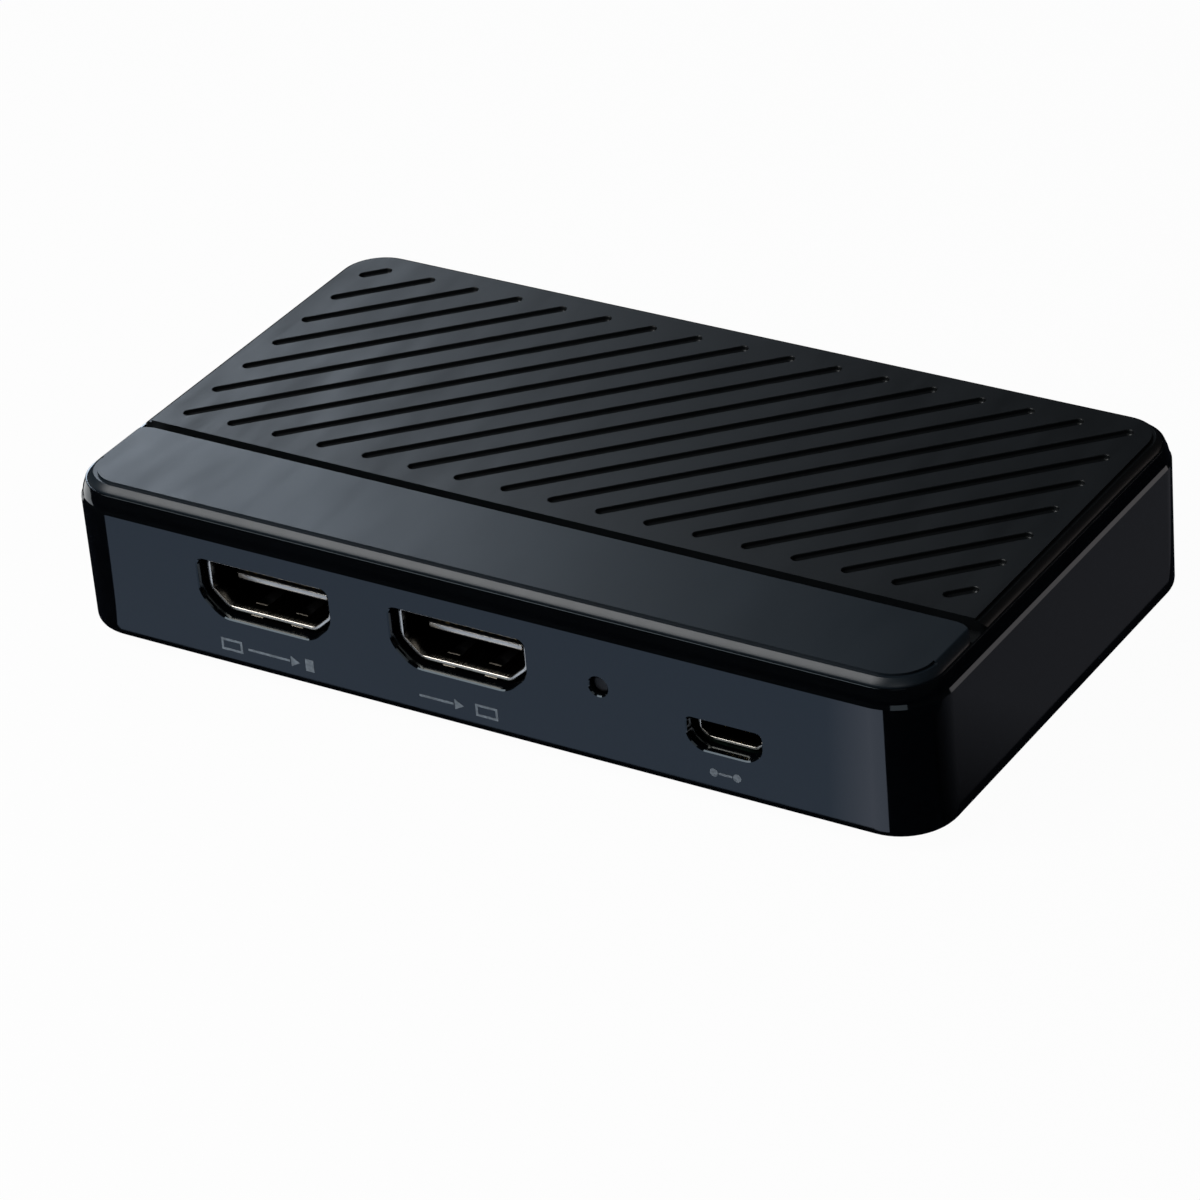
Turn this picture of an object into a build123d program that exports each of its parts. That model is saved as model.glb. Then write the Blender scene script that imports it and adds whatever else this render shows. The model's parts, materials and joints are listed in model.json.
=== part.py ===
from build123d import *
import os
from math import sqrt

# A small video capture box: a glossy tub and cover, two plates let into the top,
# three sockets on the front wall, and the circuit board that carries them.
# Millimetres. +X runs along the case, the sockets face -Y, +Z is up, and the
# origin is on the table under the middle of the case.

# Case
body_length = 100.0
body_width = 57.0
overall_height = 18.8
corner_radius = 6.0
wall_thickness = 1.6
floor_thickness = 1.6
bottom_edge_radius = 0.8
wall_top_chamfer = 0.3
port_edge_chamfer = 0.2

# Feet
foot_stand = 1.5
foot_diameter = 9.0
foot_recess_depth = 0.8
foot_clearance = 0.2
foot_edge_chamfer = 0.4

# Corner posts and case screws
post_inset = 7.0
post_diameter = 5.6
boss_diameter = 7.0
boss_top_height = 9.0
screw_diameter = 2.0
screw_head_diameter = 3.8
screw_head_height = 1.3
screw_seat_height = 3.0
screw_length = 9.0
screw_clearance = 0.1
screw_end_room = 0.6
screw_socket_width = 1.5
screw_socket_depth = 0.8

# Cover
cover_inset = 0.2
shoulder_height = 1.0
deck_thickness = 1.5
rim_rise = 0.45
rim_edge_chamfer = 0.4
lip_depth_share = 0.6
lip_thickness = 0.9
lip_clearance = 0.1
rib_thickness = 1.2
rib_height = 1.4
rib_spacing = 34.0
rib_length = 36.0
clamp_rib_spacing = 8.0
clamp_rib_length = 8.0
clamp_clearance = 0.2

# Plates on the cover
plate_margin = 0.9
plate_thickness = 1.4
plate_clearance = 0.08
plate_edge_radius = 0.8
strip_depth = 12.125
channel_width = 1.25
strip_corner_radius = 2.5
panel_corner_radius = 0.6
line_margin = 0.8
line_width = 0.3
line_depth = 0.3
peg_diameter = 2.4
peg_length = 1.3
peg_clearance = 0.1
strip_peg_shares = (-0.367, -0.139, 0.139, 0.367)
panel_peg_length_share = 0.346
panel_peg_width_share = 0.335

# Slanted grooves of the ribbed panel
groove_width = 1.0
groove_depth = 0.7
groove_pitch = 5.56
groove_angle = 45
groove_side_margin = 3.7
groove_front_margin = 2.9
groove_back_margin = 4.0

# Circuit board
board_thickness = 1.6
board_side_gap = 2.9
board_front_gap = 0.6
board_back_gap = 2.2
board_corner_radius = 0.8
leg_clearance = 0.15
notch_clearance = 0.6
standoff_height_share = 0.41667
standoff_diameter = 5.0
standoff_inset = 7.5
standoff_spacing_y = 24.0
board_screw_diameter = 2.0
board_screw_head_diameter = 3.8
board_screw_head_height = 1.2
board_screw_end_gap = 0.4

# Large sockets
hdmi_centre_share = -0.15
hdmi_spacing = 23.1
hdmi_width = 15.0
hdmi_height = 5.5
hdmi_depth = 11.5
hdmi_wall = 0.4
hdmi_slant_width = 2.2
hdmi_slant_height = 2.0
hdmi_corner_radius = 0.5
hdmi_recess = 1.15
hdmi_raise = 0.9
hdmi_port_gap = 0.45
hdmi_tongue_width = 11.0
hdmi_tongue_thickness = 0.9
hdmi_tongue_recess = 2.2
hdmi_tongue_height = 2.7
hdmi_block_depth = 3.6
hdmi_block_clearance = 0.05
hdmi_flange_thickness = 0.8
hdmi_foot_width = 11.0
hdmi_foot_length = 8.0
hdmi_leg_width = 1.6
hdmi_leg_places = (2.6, 8.6)
hdmi_contact_width = 0.45
hdmi_contact_thickness = 0.15
hdmi_contact_pitch = 1.0
hdmi_contact_back = 0.4
hdmi_upper_contacts = 10
hdmi_lower_contacts = 9
hdmi_tail_width = 0.24
hdmi_tail_length = 1.3
hdmi_spring_spacing = 4.9
hdmi_spring_width = 1.4
hdmi_spring_length = 4.0
hdmi_spring_start = 1.5
hdmi_spring_rise = 0.45
hdmi_spring_thickness = 0.25
hdmi_spring_gap = 0.2

# Small socket
usb_centre_share = 0.30769
usb_width = 7.5
usb_height = 2.6
usb_depth = 5.2
usb_wall = 0.3
usb_slant_width = 1.1
usb_slant_height = 0.9
usb_corner_radius = 0.25
usb_recess = 1.6
usb_port_gap = 0.4
usb_tongue_width = 3.8
usb_tongue_thickness = 0.6
usb_tongue_recess = 0.9
usb_tongue_height = 1.55
usb_block_depth = 1.8
usb_block_clearance = 0.05
usb_leg_width = 1.2
usb_leg_places = (2.6,)
usb_contact_width = 0.4
usb_contact_thickness = 0.12
usb_contact_pitch = 0.65
usb_contact_count = 5
usb_tail_width = 0.3
usb_tail_length = 1.0

# Status light
light_share = 0.15495
light_rise = 3.8
light_pipe_diameter = 2.0
light_clearance = 0.1
light_recess = 0.4
light_collar_diameter = 3.6
light_collar_thickness = 0.8
light_collar_clearance = 0.05
led_length = 1.6
led_width = 0.8
led_height = 0.7
led_gap = 0.2
led_setback = 4.4

# Parts on the board: shares are of its length, from its middle
processor_size = 17.0
processor_height = 1.4
processor_share = -0.022
chip_edge_chamfer = 0.15
pad_size = 15.0
pad_thickness = 0.5
sink_size = 22.0
sink_base_thickness = 1.2
sink_height = 4.4
fin_count = 8
fin_thickness = 1.0
receiver_size = 9.0
receiver_height = 0.9
receiver_gap = 3.0
splitter_size = 8.0
splitter_height = 0.9
splitter_share = -0.275
splitter_gap = 1.25
memory_length = 13.0
memory_width = 8.0
memory_height = 1.0
memory_share = 0.192
memory_spacing = 16.0
memory_offset = 3.8
flash_length = 5.3
flash_width = 4.0
flash_height = 1.7
flash_share = -0.39
flash_lead_count = 4
flash_lead_pitch = 1.27
flash_lead_width = 0.4
flash_lead_reach = 1.0
flash_lead_thickness = 0.2
crystal_length = 3.2
crystal_width = 2.5
crystal_height = 0.8
crystal_edge_radius = 0.25
main_crystal_share = -0.17
main_crystal_offset = 5.0
usb_crystal_gap = 5.45
inductor_size = 4.0
inductor_height = 2.0
inductor_corner = 0.7
inductor_pitch = 6.0
inductor_count = 3
inductor_end_gap = 0.9
inductor_back_gap = 1.7
can_diameter = 5.0
can_height = 5.4
can_base_height = 0.9
can_base_size = 5.3
can_edge_chamfer = 0.3
can_end_gap = 4.85
can_pitch = 6.5
can_count = 2
regulator_length = 3.0
regulator_width = 1.7
regulator_height = 1.1
regulator_share = 0.319
regulator_offset = 8.8
regulator_pitch = 6.0
regulator_count = 2
esd_length = 2.5
esd_width = 1.0
esd_height = 0.5
esd_pitch = 3.2
esd_gap = 2.6
esd_count = 3
chip_capacitor_length = 1.6
chip_capacitor_width = 0.8
chip_capacitor_height = 0.8
capacitor_ring_gap = 1.6
capacitor_front_gap = 1.85
capacitor_pitch = 2.6
capacitor_count = 6
resistor_length = 1.0
resistor_width = 0.5
resistor_height = 0.35
resistor_pitch = 1.0
resistor_count = 8
resistor_gap = 1.2

# Heights above the table: the board takes up the room between floor and deck
case_z = foot_stand
floor_z = case_z + floor_thickness
deck_z = overall_height - plate_thickness
deck_under_z = deck_z - deck_thickness
rim_z = deck_z + rim_rise
parting_z = deck_z - shoulder_height
wall_height = parting_z - case_z
boss_top_z = case_z + boss_top_height
board_room = deck_under_z - floor_z - board_thickness - hdmi_raise - hdmi_height
board_under_z = floor_z + board_room * standoff_height_share
board_top_z = board_under_z + board_thickness

# Distances from the middle
front_y = -body_width / 2
plate_length = body_length - 2 * plate_margin
plate_width = body_width - 2 * plate_margin
plate_front_y = -plate_width / 2
plate_back_y = plate_width / 2
plate_corner_radius = corner_radius - plate_margin
strip_back_y = plate_front_y + strip_depth
panel_front_y = strip_back_y + channel_width
post_spacing_x = body_length - 2 * post_inset
post_spacing_y = body_width - 2 * post_inset

# Circuit board between the walls
board_length = body_length - 2 * (wall_thickness + board_side_gap)
board_width = body_width - 2 * wall_thickness - board_front_gap - board_back_gap
board_front_y = front_y + wall_thickness + board_front_gap
board_centre_y = board_front_y + board_width / 2
board_back_y = board_front_y + board_width
standoff_spacing_x = board_length - 2 * standoff_inset
notch_reach = post_inset + boss_diameter / 2 + notch_clearance
board_screw_length = board_top_z - floor_z - board_screw_end_gap

# Sockets
hdmi_out_x = board_length * hdmi_centre_share - hdmi_spacing / 2
hdmi_in_x = board_length * hdmi_centre_share + hdmi_spacing / 2
hdmi_under_z = board_top_z + hdmi_raise
hdmi_z = hdmi_under_z + hdmi_height / 2
hdmi_mouth_y = front_y + hdmi_recess
hdmi_back_y = hdmi_mouth_y + hdmi_depth
lip_depth = (parting_z - hdmi_under_z - hdmi_height) * lip_depth_share
usb_centre_x = board_length * usb_centre_share
usb_z = board_top_z + usb_height / 2
usb_mouth_y = front_y + usb_recess
usb_back_y = usb_mouth_y + usb_depth
light_x = board_length * light_share
light_z = board_top_z + light_rise
led_y = front_y + led_setback

# Rows of parts behind the large sockets
esd_y = hdmi_back_y + hdmi_flange_thickness + esd_gap
resistor_y = esd_y + esd_width + resistor_gap
parts_front_y = resistor_y + resistor_length / 2
ring_reach = processor_size / 2 + capacitor_ring_gap
processor_x = board_length * processor_share
processor_y = parts_front_y + capacitor_front_gap + chip_capacitor_length / 2 + ring_reach
splitter_x = board_length * splitter_share
splitter_y = parts_front_y + splitter_gap + splitter_size / 2
receiver_y = splitter_y + (splitter_size + receiver_size) / 2 + receiver_gap
main_crystal_x = board_length * main_crystal_share
main_crystal_y = processor_y + main_crystal_offset
usb_crystal_y = usb_back_y + usb_tail_length + usb_crystal_gap + crystal_width / 2

# Parts beside and behind the processor
memory_x = board_length * memory_share
memory_y = board_centre_y + memory_offset
flash_x = board_length * flash_share
flash_y = board_centre_y
inductor_reach = (inductor_count - 1) / 2 * inductor_pitch + inductor_size / 2
inductor_x = body_length / 2 - notch_reach - inductor_end_gap - inductor_reach
inductor_y = board_back_y - inductor_back_gap - inductor_size / 2
can_x = board_length / 2 - can_end_gap - can_base_size / 2
can_y = board_centre_y
regulator_x = board_length * regulator_share
regulator_y = board_centre_y + regulator_offset


def case_outline(inset):
    """The case seen from above, drawn in by the inset."""
    with BuildSketch() as outline:
        RectangleRounded(body_length - 2 * inset, body_width - 2 * inset, corner_radius - inset)
    return outline.sketch


def socket_outline(width, height, slant, corner, grow):
    """A socket's mouth seen from the front, wide above, with slanted lower corners."""
    half = width / 2
    top = height / 2
    foot = half - slant[0]
    shoulder = slant[1] - top
    with BuildSketch() as outline:
        with BuildLine():
            Polyline(
                (-half, top),
                (half, top),
                (half, shoulder),
                (foot, -top),
                (-foot, -top),
                (-half, shoulder),
                close=True,
            )
        make_face()
        if grow != 0:
            offset(amount=grow, kind=Kind.INTERSECTION, mode=Mode.REPLACE)
        fillet(outline.vertices(), corner)
    return outline.sketch


def hdmi_outline(grow):
    """The large socket's outline, grown by a gap or drawn in by a wall."""
    slant = (hdmi_slant_width, hdmi_slant_height)
    return socket_outline(hdmi_width, hdmi_height, slant, hdmi_corner_radius, grow)


def usb_outline(grow):
    """The small socket's outline, grown by a gap or drawn in by a wall."""
    slant = (usb_slant_width, usb_slant_height)
    return socket_outline(usb_width, usb_height, slant, usb_corner_radius, grow)


def facing_plane(y):
    """An upright plane at this depth, whose normal points out of the front wall."""
    return Plane.XZ.offset(-y)


def build_lower_housing():
    """The glossy tub: walls, floor, port openings, screw bosses and board standoffs."""
    with BuildPart() as lower_housing:
        with BuildSketch(Plane.XY.offset(case_z)):
            add(case_outline(0))
        extrude(amount=wall_height)
        fillet(lower_housing.faces().sort_by(Axis.Z)[0].edges(), bottom_edge_radius)
        chamfer(lower_housing.faces().sort_by(Axis.Z)[-1].edges(), wall_top_chamfer)
        with BuildSketch(Plane.XY.offset(floor_z)):
            add(case_outline(wall_thickness))
        extrude(amount=wall_height, mode=Mode.SUBTRACT)
        with BuildSketch(Plane.XY.offset(floor_z)):
            with GridLocations(post_spacing_x, post_spacing_y, 2, 2):
                Circle(boss_diameter / 2)
        extrude(amount=boss_top_z - floor_z)
        with BuildSketch(Plane.XY.offset(floor_z)):
            with GridLocations(standoff_spacing_x, standoff_spacing_y, 2, 2):
                Circle(standoff_diameter / 2)
        extrude(amount=board_under_z - floor_z)
        with BuildSketch(Plane.XY.offset(case_z)):
            with GridLocations(post_spacing_x, post_spacing_y, 2, 2):
                Circle(foot_diameter / 2 + foot_clearance)
        extrude(amount=foot_recess_depth, mode=Mode.SUBTRACT)
        with BuildSketch(Plane.XY.offset(case_z)):
            with GridLocations(post_spacing_x, post_spacing_y, 2, 2):
                Circle(screw_head_diameter / 2 + screw_clearance)
        extrude(amount=screw_seat_height, mode=Mode.SUBTRACT)
        with BuildSketch(Plane.XY.offset(case_z)):
            with GridLocations(post_spacing_x, post_spacing_y, 2, 2):
                Circle(screw_diameter / 2 + screw_clearance)
        extrude(amount=boss_top_height, mode=Mode.SUBTRACT)
        with BuildSketch(Plane.XY.offset(floor_z)):
            with GridLocations(standoff_spacing_x, standoff_spacing_y, 2, 2):
                Circle(board_screw_diameter / 2 + screw_clearance)
        extrude(amount=board_under_z - floor_z, mode=Mode.SUBTRACT)
        with BuildSketch(facing_plane(front_y)):
            with Locations((hdmi_out_x, hdmi_z), (hdmi_in_x, hdmi_z)):
                add(hdmi_outline(hdmi_port_gap))
            with Locations((usb_centre_x, usb_z)):
                add(usb_outline(usb_port_gap))
        extrude(amount=-wall_thickness, mode=Mode.SUBTRACT)
        front_face = lower_housing.faces().filter_by(Axis.Y).sort_by(Axis.Y)[0]
        chamfer([edge for wire in front_face.inner_wires() for edge in wire.edges()], port_edge_chamfer)
        with BuildSketch(facing_plane(front_y)):
            with Locations((light_x, light_z)):
                Circle(light_pipe_diameter / 2 + light_clearance)
        extrude(amount=-wall_thickness, mode=Mode.SUBTRACT)
    return lower_housing


def build_top_cover():
    """The glossy cover: shoulder, deck for the plates, lip, posts and ribs."""
    with BuildPart() as top_cover:
        with BuildSketch(Plane.XY.offset(parting_z)):
            add(case_outline(cover_inset))
        extrude(amount=rim_z - parting_z)
        chamfer(top_cover.faces().sort_by(Axis.Z)[-1].edges(), rim_edge_chamfer)
        with BuildSketch(Plane.XY.offset(deck_z)):
            add(case_outline(plate_margin - plate_clearance))
        extrude(amount=rim_rise, mode=Mode.SUBTRACT)
        with BuildSketch(Plane.XY.offset(parting_z - lip_depth)):
            add(case_outline(wall_thickness + lip_clearance))
        extrude(amount=lip_depth)
        with BuildSketch(Plane.XY.offset(parting_z - lip_depth)):
            add(case_outline(wall_thickness + lip_clearance + lip_thickness))
        extrude(amount=deck_under_z - parting_z + lip_depth, mode=Mode.SUBTRACT)
        with BuildSketch(Plane.XY.offset(boss_top_z)):
            with GridLocations(post_spacing_x, post_spacing_y, 2, 2):
                Circle(post_diameter / 2)
        extrude(amount=deck_under_z - boss_top_z)
        with BuildSketch(Plane.XY.offset(deck_under_z - rib_height)):
            with GridLocations(rib_spacing, rib_length, 2, 1):
                Rectangle(rib_thickness, rib_length)
        extrude(amount=rib_height)
        clamp_z = hdmi_under_z + hdmi_height + clamp_clearance
        with BuildSketch(Plane.XY.offset(clamp_z)):
            for centre_x in (hdmi_out_x, hdmi_in_x):
                with Locations((centre_x, hdmi_back_y - clamp_rib_length / 2)):
                    with GridLocations(clamp_rib_spacing, clamp_rib_length, 2, 1):
                        Rectangle(rib_thickness, clamp_rib_length)
        extrude(amount=deck_under_z - clamp_z)
        with BuildSketch(Plane.XY.offset(boss_top_z)):
            with GridLocations(post_spacing_x, post_spacing_y, 2, 2):
                Circle(screw_diameter / 2 + screw_clearance)
        extrude(amount=screw_tip_z() + screw_end_room - boss_top_z, mode=Mode.SUBTRACT)
        with BuildSketch(Plane.XY.offset(deck_under_z - rib_height)):
            with Locations(*strip_peg_points(), *panel_peg_points()):
                Circle(peg_diameter / 2 + peg_clearance)
        extrude(amount=rib_height + deck_thickness, mode=Mode.SUBTRACT)
    return top_cover


def screw_tip_z():
    """Height of the case screws' points."""
    return case_z + screw_seat_height + screw_length


def strip_peg_points():
    """Places of the front strip's pegs."""
    middle_y = (plate_front_y + strip_back_y) / 2
    return [(plate_length * share, middle_y) for share in strip_peg_shares]


def panel_peg_points():
    """Places of the ribbed panel's pegs."""
    middle_y = (panel_front_y + plate_back_y) / 2
    reach_x = plate_length * panel_peg_length_share
    reach_y = (plate_back_y - panel_front_y) * panel_peg_width_share
    return [(x, middle_y + y) for x in (-reach_x, reach_x) for y in (-reach_y, reach_y)]


def plate_area(front, back, corner):
    """A span of the top between two depths, with rounded corners on the channel side."""
    reach = body_length / 2 - plate_margin
    with BuildSketch() as area:
        with Locations((0, (front + back) / 2)):
            Rectangle(2 * reach, back - front)
        channel_side = Axis.Y if front < strip_back_y else -Axis.Y
        fillet(area.vertices().group_by(channel_side)[-1], corner)
    return area.sketch


def shadow_line(inset):
    """Area of the plates inside the fine line round their outer edge."""
    return case_outline(plate_margin + inset)


def build_front_strip():
    """The smooth satin plate along the front of the top."""
    with BuildPart() as front_strip:
        with BuildSketch(Plane.XY.offset(deck_z)):
            add(case_outline(plate_margin))
        extrude(amount=plate_thickness)
        fillet(front_strip.faces().sort_by(Axis.Z)[-1].edges(), plate_edge_radius)
        with BuildSketch(Plane.XY.offset(deck_z)):
            add(plate_area(front_y, strip_back_y, strip_corner_radius))
        extrude(amount=plate_thickness, mode=Mode.INTERSECT)
        with BuildSketch(Plane.XY.offset(overall_height)):
            add(shadow_line(line_margin))
            add(shadow_line(line_margin + line_width), mode=Mode.SUBTRACT)
            with Locations((0, plate_front_y + plate_corner_radius)):
                Rectangle(body_length, body_width, align=(Align.CENTER, Align.MIN), mode=Mode.SUBTRACT)
        extrude(amount=-line_depth, mode=Mode.SUBTRACT)
        with BuildSketch(Plane.XY.offset(deck_z)):
            with Locations(*strip_peg_points()):
                Circle(peg_diameter / 2)
        extrude(amount=-peg_length)
    return front_strip


def groove_places():
    """Middle point and run of each slanted groove, clipped to the ribbed field."""
    half_x = plate_length / 2 - groove_side_margin
    low_y = panel_front_y + groove_front_margin
    high_y = plate_back_y - groove_back_margin
    half_y = (high_y - low_y) / 2
    middle_y = (high_y + low_y) / 2
    reach = int((half_x + half_y) / groove_pitch)
    places = []
    for step in range(-reach, reach + 1):
        shift = step * groove_pitch
        start = max(-half_x, shift - half_y)
        end = min(half_x, shift + half_y)
        centre = (start + end) / 2
        places.append((centre, middle_y + centre - shift, (end - start) * sqrt(2)))
    return places


def build_ribbed_panel():
    """The matt plate with slanted, round-ended grooves."""
    with BuildPart() as ribbed_panel:
        with BuildSketch(Plane.XY.offset(deck_z)):
            add(case_outline(plate_margin))
        extrude(amount=plate_thickness)
        fillet(ribbed_panel.faces().sort_by(Axis.Z)[-1].edges(), plate_edge_radius)
        with BuildSketch(Plane.XY.offset(deck_z)):
            add(plate_area(panel_front_y, -front_y, panel_corner_radius))
        extrude(amount=plate_thickness, mode=Mode.INTERSECT)
        with BuildSketch(Plane.XY.offset(overall_height)):
            add(shadow_line(line_margin))
            add(shadow_line(line_margin + line_width), mode=Mode.SUBTRACT)
        extrude(amount=-line_depth, mode=Mode.SUBTRACT)
        with BuildSketch(Plane.XY.offset(overall_height)):
            for centre_x, centre_y, run in groove_places():
                with Locations((centre_x, centre_y)):
                    SlotCenterToCenter(run, groove_width, rotation=groove_angle)
        extrude(amount=-groove_depth, mode=Mode.SUBTRACT)
        with BuildSketch(Plane.XY.offset(deck_z)):
            with Locations(*panel_peg_points()):
                Circle(peg_diameter / 2)
        extrude(amount=-peg_length)
    return ribbed_panel


def build_foot(centre_x, centre_y):
    """A round rubber foot, seated in its recess."""
    with BuildPart() as foot:
        with BuildSketch():
            with Locations((centre_x, centre_y)):
                Circle(foot_diameter / 2)
        extrude(amount=foot_stand + foot_recess_depth)
        chamfer(foot.faces().sort_by(Axis.Z)[0].edges(), foot_edge_chamfer)
    return foot


def build_case_screws():
    """Four screws that pass up through the tub's bosses into the cover's posts."""
    seat = Plane.XY.offset(case_z + screw_seat_height)
    with BuildPart() as case_screws:
        with BuildSketch(seat):
            with GridLocations(post_spacing_x, post_spacing_y, 2, 2):
                Circle(screw_head_diameter / 2)
        extrude(amount=-screw_head_height)
        with BuildSketch(seat):
            with GridLocations(post_spacing_x, post_spacing_y, 2, 2):
                Circle(screw_diameter / 2)
        extrude(amount=screw_length)
        chamfer(case_screws.faces().group_by(Axis.Z)[-1].edges(), screw_diameter / 4)
        with BuildSketch(seat.offset(-screw_head_height)):
            with GridLocations(post_spacing_x, post_spacing_y, 2, 2):
                RegularPolygon(screw_socket_width / 2, 6)
        extrude(amount=screw_socket_depth, mode=Mode.SUBTRACT)
    return case_screws


def build_board_screws():
    """Four screws that hold the board down on the tub's standoffs."""
    seat = Plane.XY.offset(board_top_z)
    with BuildPart() as board_screws:
        with BuildSketch(seat):
            with GridLocations(standoff_spacing_x, standoff_spacing_y, 2, 2):
                Circle(board_screw_head_diameter / 2)
        extrude(amount=board_screw_head_height)
        chamfer(board_screws.faces().group_by(Axis.Z)[-1].edges(), board_screw_head_height / 3)
        with BuildSketch(seat):
            with GridLocations(standoff_spacing_x, standoff_spacing_y, 2, 2):
                Circle(board_screw_diameter / 2)
        extrude(amount=-board_screw_length)
        with BuildSketch(seat.offset(board_screw_head_height)):
            with GridLocations(standoff_spacing_x, standoff_spacing_y, 2, 2):
                Rectangle(board_screw_head_diameter / 2, board_screw_head_diameter / 8)
                Rectangle(board_screw_head_diameter / 8, board_screw_head_diameter / 2)
        extrude(amount=-board_screw_head_height / 2, mode=Mode.SUBTRACT)
    return board_screws


def leg_areas(reach, places, wall, leg_width, grow):
    """A socket shell's legs seen from above, grown by a clearance."""
    with BuildSketch() as areas:
        for place in places:
            with Locations((-reach, place), (reach, place)):
                Rectangle(wall + 2 * grow, leg_width + 2 * grow)
    return areas.sketch


def hdmi_legs(grow):
    """The large socket's legs, measured from the middle of its mouth."""
    return leg_areas((hdmi_width - hdmi_wall) / 2, hdmi_leg_places, hdmi_wall, hdmi_leg_width, grow)


def usb_legs(grow):
    """The small socket's legs, measured from the middle of its mouth."""
    return leg_areas((usb_width - usb_wall) / 2, usb_leg_places, usb_wall, usb_leg_width, grow)


def build_main_board():
    """The circuit board: corner notches for the bosses, screw holes and leg slots."""
    with BuildPart() as main_board:
        with BuildSketch(Plane.XY.offset(board_under_z)) as outline:
            with Locations((0, board_centre_y)):
                Rectangle(board_length, board_width)
            with GridLocations(body_length, body_width, 2, 2):
                Rectangle(2 * notch_reach, 2 * notch_reach, mode=Mode.SUBTRACT)
            fillet(outline.vertices(), board_corner_radius)
            with GridLocations(standoff_spacing_x, standoff_spacing_y, 2, 2):
                Circle(board_screw_diameter / 2 + screw_clearance, mode=Mode.SUBTRACT)
            with Locations((hdmi_out_x, hdmi_mouth_y), (hdmi_in_x, hdmi_mouth_y)):
                add(hdmi_legs(leg_clearance), mode=Mode.SUBTRACT)
            with Locations((usb_centre_x, usb_mouth_y)):
                add(usb_legs(leg_clearance), mode=Mode.SUBTRACT)
        extrude(amount=board_thickness)
    return main_board


def spring_profile():
    """A leaf spring seen from the side, bowed up out of the shell's lower wall."""
    front = hdmi_mouth_y + hdmi_spring_start + hdmi_spring_gap
    back = hdmi_mouth_y + hdmi_spring_start + hdmi_spring_length
    crest = front + (back - front) / 3
    upper_z = hdmi_under_z + hdmi_wall
    lower_z = upper_z - hdmi_spring_thickness
    with BuildSketch() as profile:
        with BuildLine():
            ThreePointArc((back, upper_z), (crest, upper_z + hdmi_spring_rise), (front, upper_z))
            Line((front, upper_z), (front, lower_z))
            ThreePointArc((front, lower_z), (crest, lower_z + hdmi_spring_rise), (back, lower_z))
            Line((back, lower_z), (back, upper_z))
        make_face()
    return profile.sketch


def build_hdmi_shell(centre_x):
    """A large socket's folded metal shell, with legs and two leaf springs."""
    window_y = hdmi_mouth_y + hdmi_spring_start + hdmi_spring_length / 2
    with BuildPart() as hdmi_shell:
        with BuildSketch(facing_plane(hdmi_mouth_y)):
            with Locations((centre_x, hdmi_z)):
                add(hdmi_outline(0))
                add(hdmi_outline(-hdmi_wall), mode=Mode.SUBTRACT)
        extrude(amount=-hdmi_depth)
        with BuildSketch(Plane.XY.offset(board_under_z)):
            with Locations((centre_x, hdmi_mouth_y)):
                add(hdmi_legs(0))
        extrude(amount=hdmi_z - board_under_z)
        for spring_x in (centre_x - hdmi_spring_spacing / 2, centre_x + hdmi_spring_spacing / 2):
            with BuildSketch(Plane.XY.offset(hdmi_under_z)):
                with Locations((spring_x, window_y)):
                    Rectangle(hdmi_spring_width + 2 * hdmi_spring_gap, hdmi_spring_length)
            extrude(amount=hdmi_wall, mode=Mode.SUBTRACT)
            with BuildSketch(Plane.YZ.offset(spring_x)):
                add(spring_profile())
            extrude(amount=hdmi_spring_width / 2, both=True)
    return hdmi_shell


def build_hdmi_insulator(centre_x):
    """A large socket's plastic block: tongue, rear wall and the pad that sits on the board."""
    block_front_y = hdmi_back_y - hdmi_block_depth
    tongue_z = hdmi_under_z + hdmi_tongue_height
    flange_top_z = hdmi_under_z + hdmi_height - hdmi_wall
    with BuildPart() as hdmi_insulator:
        with BuildSketch(facing_plane(hdmi_back_y)):
            with Locations((centre_x, hdmi_z)):
                add(hdmi_outline(-hdmi_wall - hdmi_block_clearance))
        extrude(amount=hdmi_block_depth)
        with BuildSketch(facing_plane(hdmi_back_y)):
            with Locations((centre_x, (board_top_z + flange_top_z) / 2)):
                Rectangle(hdmi_foot_width, flange_top_z - board_top_z)
        extrude(amount=-hdmi_flange_thickness)
        with BuildSketch(facing_plane(hdmi_back_y)):
            with Locations((centre_x, board_top_z + hdmi_raise / 2)):
                Rectangle(hdmi_foot_width, hdmi_raise)
        extrude(amount=hdmi_foot_length)
        with BuildSketch(facing_plane(block_front_y)):
            with Locations((centre_x, tongue_z)):
                Rectangle(hdmi_tongue_width, hdmi_tongue_thickness)
        extrude(amount=block_front_y - hdmi_mouth_y - hdmi_tongue_recess)
        tip = hdmi_insulator.edges().filter_by(Axis.X).group_by(Axis.Y)[0]
        chamfer(tip, hdmi_tongue_thickness / 4)
    return hdmi_insulator


def contact_row(count, pitch, width, front, back):
    """A row of flat strips seen from above, from a front depth to a back depth."""
    with BuildSketch() as row:
        with Locations((0, (front + back) / 2)):
            with GridLocations(pitch, back - front, count, 1):
                Rectangle(width, back - front)
    return row.sketch


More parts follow.
